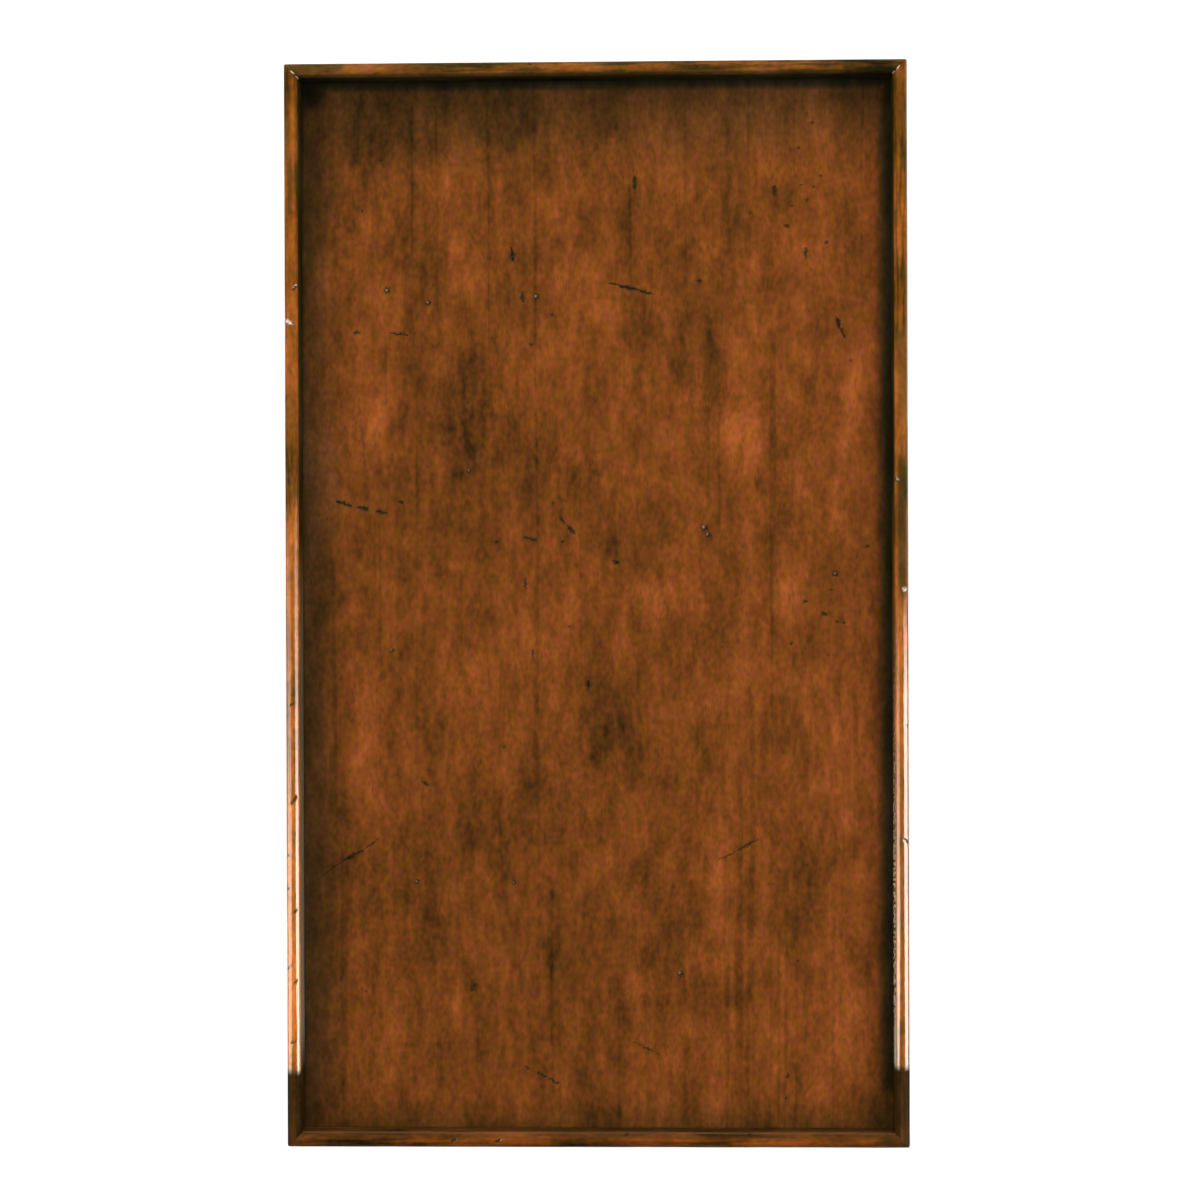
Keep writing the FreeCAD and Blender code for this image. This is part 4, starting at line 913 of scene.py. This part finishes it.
# %% Lips in place
CORNER = 2.0 * MM  # the radius of the tray's outer corners
NICK_REACH = 4.5 * MM  # how far below the top of a lip its nicks go
BEAD = 0.5 * MM  # how far the wax beads stand out of the right lip's wall; their pale colour is painted sheen
MITRE_LINE, MITRE_GLAZE = 0.4, 0.40  # how far from a mitre its line goes, in millimetres, and how dark
MITRE_SHEEN = 0.7  # how far from a back mitre its painted highlight goes, in millimetres
SHEEN_BANDS = ((5.0, 6.4), (7.6, 9.5))  # from and to, in from the outer face, where that painted highlight lies
SHEEN_LEVEL = TOP + 12 * MM
middle_z = (lip_low.z + lip_high.z) / 2
across = TRAY_HALF - Vector((LIP_WIDTH, LIP_WIDTH)) / 2
LIPS = (  # which lip, its length, its turn and its middle
    ("right", 2 * TRAY_HALF.y, 0.0, (across.x, 0, middle_z)),
    ("back", 2 * TRAY_HALF.x, math.pi / 2, (0, across.y, middle_z)),
    ("left", 2 * TRAY_HALF.y, math.pi, (-across.x, 0, middle_z)),
    ("front", 2 * TRAY_HALF.x, -math.pi / 2, (0, -across.y, middle_z)),
)


def wear_lip(piece, side):
    """Rounds the outer corners, cuts the nicks and paints the age of one lip, with its painted light, sheen
    and shade.
    """
    painted_on = {"glaze": [], "rub_and_light": [], "wax_and_sheen": [], "polish": [], "raw_and_shade": []}
    nicks = [Stroke(*row[:4], half=row[4] / 2, depth=row[5], dark=0.9) for row in NICKS[side]]
    for vertex in piece.data.vertices:
        x, y, z = vertex.co
        over_x, over_y = abs(x) - TRAY_HALF.x + CORNER, abs(y) - TRAY_HALF.y + CORNER
        far = math.hypot(over_x, over_y)
        if over_x > 0 and over_y > 0 and far > CORNER:
            x = math.copysign(TRAY_HALF.x - CORNER + over_x * CORNER / far, x)
            y = math.copysign(TRAY_HALF.y - CORNER + over_y * CORNER / far, y)
        from_x, from_y = (TRAY_HALF.x - abs(x)) / MM, (TRAY_HALF.y - abs(y)) / MM
        along = x / MM if side in ("front", "back") else y / MM
        glaze, rub_and_light, wax_and_sheen, polish, raw_and_shade = lip_age(side, along, min(from_x, from_y), (lip_high.z - z) / MM)
        # the right wall's wax beads stand out as real bumps; their pale colour is painted sheen
        if side == "right" and from_x > LIP_WIDTH / MM - 0.2:
            x -= BEAD * wax_and_sheen
        for nick in nicks:
            t = off_stroke(x / MM, y / MM, nick)[0] / nick.half
            if t < 2 and z > lip_high.z - NICK_REACH:
                z -= nick.depth * MM * max(0.0, 1 - t * t)
                glaze = max(glaze, nick.dark * math.exp(-1.2 * t * t))
                polish = max(polish, math.exp(-0.8 * t * t))
        # pale painted glints in the nicks, painted highlights
        for glint in PAINTED_GLINTS[side]:
            if z > lip_high.z - NICK_REACH:
                wax_and_sheen = max(wax_and_sheen, 1 - between(math.dist(glint, (x / MM, y / MM)), 0.5, 1.4))
        off_mitre = abs(from_x - from_y)
        if off_mitre < MITRE_LINE:
            glaze = max(glaze, MITRE_GLAZE)
        # a pale painted highlight at the back mitres
        at_back_top = off_mitre < MITRE_SHEEN and y > 0 and z > SHEEN_LEVEL
        if at_back_top and any(start < from_x < stop for start, stop in SHEEN_BANDS):
            wax_and_sheen = 0.95
        vertex.co = (x, y, z)
        for title, amount in zip(painted_on, (glaze, rub_and_light, wax_and_sheen, polish, raw_and_shade)):
            painted_on[title].append(amount)
    paint(piece.data, painted_on)


def close_shell(mesh):
    """Joins points that lie together, turns all faces outwards, and gives the volume inside."""
    shell = bmesh.new()
    shell.from_mesh(mesh)
    bmesh.ops.remove_doubles(shell, verts=shell.verts, dist=0.00001)
    bmesh.ops.recalc_face_normals(shell, faces=shell.faces)
    volume = shell.calc_volume(signed=True)
    shell.to_mesh(mesh)
    shell.free()
    return volume


for seed, (side, length, turn, middle) in enumerate(LIPS):
    lip = grow(
        f"lip_{side}", LIP_MOULDING, Length=length, Width=LIP_WIDTH, Height=lip_high.z - lip_low.z,
        Wear=0.12 * MM, Seed=float(seed), Turn=turn, Middle=middle, Finish=LIP_FINISH[side],
        **{"Outer Arris": 3.3 * MM, "Inner Arris": 3.2 * MM},
    )
    wear_lip(lip, side)
    volume = close_shell(lip.data)
    smooth(lip.data, 50)
    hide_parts(f"tray_lip_{side}")
    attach(lip, "case")
    lips_only.objects.link(lip)
    print(lip.name, len(lip.data.polygons), "faces", round(volume * 1e6, 1), "cm3")

# %% [markdown]
# ## Case finish
# Posts, rails, aprons, side panels and drawer fronts wear the same finish as the tray, so they use the same
# group. Each board gets its own material, with the grain turned along its length and shifted to another part
# of the tree, because two boards side by side never have the same grain.
#
# Two rules add the age. Rays that leave a point and soon hit something say that it is in a corner, and the
# wood is darkened there: glaze and painted shade together. Rays that go into the wood and soon come out again
# say that it is near an arris, and hands rub that bare. Both are the Ambient Occlusion node, once outwards
# and once inwards. Worm holes are the cells of a Voronoi texture, with most of them left out.

# %% Age that follows the shape
def rays(tree, reach, **options):
    return put(tree, "ShaderNodeAmbientOcclusion", {"Distance": reach}, samples=6, **options).outputs["AO"]


# how closed in a point is; on wood it darkens corners as painted shade, on brass it places patina
def in_corners(tree, reach):
    return spread(rays(tree, reach), 0.45, 0.95, 1.0, 0.0)


def on_arrises(tree, reach):
    return spread(rays(tree, reach, inside=True, only_local=True), 0.60, 0.97, 1.0, 0.0)


def worm_holes(place, scale, radius, kept):
    tree = place.id_data
    cell = put(tree, "ShaderNodeTexVoronoi", {"Vector": place, "Scale": scale}).outputs
    hole = spread(cell["Distance"], radius * scale * 0.6, radius * scale, 1.0, 0.0)
    chosen = calc("GREATER_THAN", out(tree, "ShaderNodeSeparateColor", {0: cell["Color"]}), 1 - kept)
    return times(hole, chosen)


def along_sides(place):
    """1 on the two long sides of the chest and 0 on its front and back."""
    apart = axes_of(vector_calc("ABSOLUTE", place))
    return calc("GREATER_THAN", less(apart["X"], apart["Y"]), TRAY_HALF.x - TRAY_HALF.y)


def grain_of(place, grain, shift):
    """The grain along a board, or around the chest for a moulding."""
    if grain != "round":
        return along_grain(place, grain, shift)
    front, sides = along_grain(place, "x", shift), along_grain(place, "y", shift)
    sockets = {0: along_sides(place), 4: front, 5: sides}
    return put(place.id_data, "ShaderNodeMix", sockets, data_type="VECTOR").outputs[1]


def case_cherry(node, grain, shift):
    material, tree, shader = finish_on(f"cherry {node}")
    place = own_place(tree)
    run = grain_of(place, grain, shift)
    tone = times(less(cloud(run, 15, 7, 2.0), 0.5), 2.5)
    patchy = spread(cloud(run, 70, 30, 2.0), 0.35, 0.65, 0.45, 1.0)
    # glaze and painted shade in corners, patchy, found by ambient occlusion
    corner = times(times(in_corners(tree, 0.016), patchy), 0.85)
    holes = worm_holes(place, 26.0, 0.0012, 0.30)
    wood = cherry(run, larger(corner, holes), tone)
    rubbed = times(times(on_arrises(tree, 0.0028), patchy), 0.55)
    colour = blend_colour(rubbed, wood["Color"], shade(158, 92, 44))
    fill(shader, {"Base Color": colour, "Roughness": wood["Roughness"], "Specular IOR Level": 0.15})
    raise_grain(shader, less(wood["Height"], times(holes, 6.0)), 0.00004)
    return material


def dress(node, material):
    piece = nodes[node]
    for slot in piece.material_slots:
        slot.material = material
    if not piece.material_slots:
        piece.data.materials.append(material)


LEVELS = ("upper", "middle", "lower")
CASE_BOARDS = {
    "z": [f"post_{end}_{side}" for end in ("front", "back") for side in ("left", "right")]
    + ["left_side_panel", "right_side_panel"],
    "y": [f"{side}_{board}" for side in ("left", "right") for board in ("top_rail", "apron")],
    "x": ["front_top_rail", "upper_divider", "lower_divider", "front_apron"]
    + [f"{level}_drawer_front" for level in LEVELS],
    "round": ["cove_moulding"],
}
dressed = 0
for grain, boards in CASE_BOARDS.items():
    for board_name in boards:
        dressed += 1
        dress(board_name, case_cherry(board_name, grain, (0.73 * dressed, 1.31 * dressed, 0.47 * dressed)))
print("case boards dressed", dressed)

# %% [markdown]
# ## Pale wood inside, and the back board
# Drawer boxes, runners and rails that nobody sees are made of a plain pale wood, planed and waxed at most.
# It needs no distress, only fine straight grain, some darker growth lines and painted shade in the corners.
# The back board is a thin stained sheet, duller and darker than the case.

# %% Pale wood
RAIL_SHADES = ((184, 146, 98), (142, 104, 62))
BOX_SHADES = ((208, 172, 122), (170, 130, 84))


def pale_wood(node, grain, shift, light, dark):
    material, tree, shader = finish_on(f"pale {node}")
    run = grain_of(own_place(tree), grain, shift)
    fibres = cloud(run, 900, 30)
    tone = plus(times(cloud(run, 120, 3.0, 2.0, 0.6), 0.45), times(fibres, 0.25))
    tone = plus(tone, times(cloud(run, 12, 3), 0.30))
    middle = [(a + b) / 2 for a, b in zip(light, dark)]
    colour = toned(tone, ((0.34, *dark), (0.50, *middle), (0.62, *light)))
    # painted shade: darker in corners, where ambient occlusion finds something close
    corner_shade = times(in_corners(tree, 0.010), 0.45)
    colour = blend_colour(corner_shade, colour, shade(*[c * 0.45 for c in dark]))
    rough = spread(fibres, 0.3, 0.7, 0.62, 0.48)
    fill(shader, {"Base Color": colour, "Roughness": rough, "Specular IOR Level": 0.25})
    raise_grain(shader, fibres, 0.00006)
    return material


RAILS = {"front_dust_rail": "x", "back_top_rail": "x", "back_apron": "x", "kickers": "y", "drawer_stops": "x"}
for level in LEVELS:
    RAILS[f"{level}_runners"] = "y"
BOXES = {"left_side": "y", "right_side": "y", "back": "x", "bottom": "x", "turn_button": "z"}
for count, (node, grain) in enumerate(RAILS.items()):
    shift = (0.37 * count, 0.61 * count, 0.29 * count)
    dress(node, pale_wood(node, grain, shift, *RAIL_SHADES))
for step, level in enumerate(LEVELS):
    for count, (part, grain) in enumerate(BOXES.items()):
        node = f"{level}_drawer_{part}"
        shift = (0.53 * count + step, 0.41 * step + count, 0.83 * count)
        dress(node, pale_wood(node, grain, shift, *BOX_SHADES))
print("pale boards", len(RAILS) + len(LEVELS) * len(BOXES))

# %% Back board
material, tree, shader = finish_on("back board stain")
run = grain_of(own_place(tree), "z", (3.1, 0.4, 1.7))
# glaze in the corners with painted shade: darker where ambient occlusion finds something close
wood = cherry(run, times(in_corners(tree, 0.02), 0.6))
colour = blend_colour(0.45, wood["Color"], shade(84, 58, 36))
rough = spread(cloud(run, 300, 20), 0.3, 0.7, 0.58, 0.74)
fill(shader, {"Base Color": colour, "Roughness": rough, "Specular IOR Level": 0.2})
raise_grain(shader, wood["Height"], 0.00005)
dress("back_panel", material)
print("back board", len(tree.nodes), "nodes")

# %% [markdown]
# ## Brass, steel and nylon
# The pulls are cast brass that has been darkened and then rubbed, so it is bright on its edges and brown in
# its corners. The same two rules of shape that aged the wood do it here, and a fine noise breaks up the
# shine. Screws are dull zinc. The glides under the feet are moulded nylon with a slight orange-peel skin.

# %% Metal and nylon
BRASS = ((0.0, 196, 158, 92), (0.45, 150, 112, 58), (1.0, 74, 52, 28))


def aged_brass(node):
    material, tree, shader = finish_on(f"brass {node}")
    place = own_place(tree)
    tarnish = cloud(place, 170, 170, 4.0, 0.6)
    film = spread(tarnish, 0.30, 0.70, 0.30, 0.62)
    film = plus(film, times(in_corners(tree, 0.006), 0.6))
    film = calc("SUBTRACT", film, times(on_arrises(tree, 0.0012), 0.6), clamp=True)
    rough = spread(film, 0.0, 1.0, 0.26, 0.52)
    fill(shader, {"Base Color": toned(film, BRASS), "Metallic": 1.0, "Roughness": rough})
    raise_grain(shader, plus(cloud(place, 700, 700, 2.0), tarnish), 0.00005)
    return material


def speckled(name, scale, detail, stops, rough, depth, metallic):
    """A plain stuff with one fine noise in its colour, its shine and its skin."""
    material, tree, shader = finish_on(name)
    skin = cloud(own_place(tree), scale, scale, detail)
    rough = spread(skin, 0.3, 0.7, *rough)
    fill(shader, {"Base Color": toned(skin, stops), "Metallic": metallic, "Roughness": rough})
    raise_grain(shader, skin, depth)
    return material


for level in LEVELS:
    for part in ("pull_plate", "pull_posts", "pull_bail"):
        dress(f"{level}_{part}", aged_brass(f"{level}_{part}"))
ZINC_SHADES = ((0.35, 120, 116, 106), (0.65, 176, 172, 162))
ZINC = speckled("dull zinc", 420, 3.0, ZINC_SHADES, (0.50, 0.34), 0.00003, metallic=1.0)
dress("tray_screws", ZINC)
NYLON_SHADES = ((0.3, 46, 38, 30), (0.7, 64, 54, 44))
dress("foot_glides", speckled("brown nylon", 900, 2.0, NYLON_SHADES, (0.48, 0.60), 0.00004, metallic=0.0))
print("brass on", 3 * len(LEVELS), "nodes, zinc on the tray's screws, nylon under the feet")

# %% [markdown]
# ## Back screws
# Eight slotted screws hold the back board, and no two slots point the same way. That is what instances are
# for: one screw is made in a tree, set on each place, turned so that its head faces back, and spun by a
# seeded random angle. The head is the upper half of a ball, pressed flat, with a bar cut out of it. Places
# and sizes are measured on the CAD screws, so the new heads sit on the board as those do.

# %% Screw tree
def slotted_screws():
    tree = bpy.data.node_groups.new("slotted screws", "GeometryNodeTree")
    offer(tree, "INPUT", "Geometry", "Geometry")
    offer(tree, "INPUT", "Float", "Head Radius", "Head Height", "Shank Radius", "Shank Length", "Slot Width")
    offer(tree, "INPUT", "Int", "Seed")
    offer(tree, "INPUT", "Material", "Finish")
    offer(tree, "OUTPUT", "Geometry", "Geometry")
    given = put(tree, "NodeGroupInput").outputs
    ball = out(tree, "GeometryNodeMeshUVSphere", {"Segments": 32, "Rings": 16, "Radius": 1.0})
    spot = axes_of(out(tree, "GeometryNodeInputPosition"))
    domed = {axis: times(spot[axis], given["Head Radius"]) for axis in "XY"}
    domed["Z"] = times(larger(spot["Z"], 0.0), given["Head Height"])
    head = out(tree, "GeometryNodeSetPosition", {"Geometry": ball, "Position": from_axes(**domed)})
    sockets = {"Vertices": 16, "Radius": given["Shank Radius"], "Depth": given["Shank Length"]}
    shank = put(tree, "GeometryNodeMeshCylinder", sockets).outputs["Mesh"]
    sunk = from_axes(Z=times(given["Shank Length"], -0.49))
    shank = out(tree, "GeometryNodeTransform", {"Geometry": shank, "Translation": sunk})
    joined = put(tree, "GeometryNodeMeshBoolean", {1: head}, operation="UNION", solver="EXACT")
    fill(joined, {1: shank})
    size = from_axes(
        X=times(given["Head Radius"], 2.4), Y=given["Slot Width"], Z=given["Head Height"]
    )
    bar = put(tree, "GeometryNodeMeshCube", {"Size": size}).outputs["Mesh"]
    raised = from_axes(Z=times(given["Head Height"], 0.92))
    bar = out(tree, "GeometryNodeTransform", {"Geometry": bar, "Translation": raised})
    sockets = {0: joined.outputs["Mesh"], 1: bar}
    screw = put(tree, "GeometryNodeMeshBoolean", sockets, operation="DIFFERENCE", solver="EXACT")
    sockets = {"Points": given["Geometry"], "Instance": screw.outputs["Mesh"]}
    sockets["Rotation"] = (-math.pi / 2, 0, 0)
    set_in = out(tree, "GeometryNodeInstanceOnPoints", sockets)
    sockets = {2: 0.0, 3: math.pi, 8: given["Seed"]}
    angle = put(tree, "FunctionNodeRandomValue", sockets, data_type="FLOAT").outputs[1]
    sockets = {"Instances": set_in, "Rotation": from_axes(Z=angle), "Local Space": True}
    hand_on(tree, out(tree, "GeometryNodeRotateInstances", sockets), given["Finish"])
    return tree


SLOTTED_SCREWS = slotted_screws()
print("slotted screw tree", len(SLOTTED_SCREWS.nodes), "nodes")

# %% Screws in place
board_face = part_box("back_panel")[1].y
screw_low, screw_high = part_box("back_panel_screws")
found = {}
for vertex in nodes["back_panel_screws"].data.vertices:
    spot = Vector((vertex.co.x, vertex.co.z))
    seat = next((s for s in found if math.dist(s, spot) < 12 * MM), tuple(spot))
    found.setdefault(seat, []).append(spot)
seats = [[(min(c) + max(c)) / 2 for c in zip(*spots)] for spots in found.values()]
head_radius = max(math.dist(seat, spot) for seat, spots in zip(seats, found.values()) for spot in spots)
screws = grow(
    "back_screws", SLOTTED_SCREWS, [(x, board_face, z) for x, z in seats], Seed=7, Finish=ZINC,
    **{"Head Radius": head_radius, "Head Height": screw_high.y - board_face, "Shank Radius": 1.6 * MM},
    **{"Shank Length": board_face - screw_low.y, "Slot Width": 1.0 * MM},
)
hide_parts("back_panel_screws")
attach(screws, "case")
print("screws", len(seats), "with heads of", round(2 * head_radius / MM, 2), "mm")
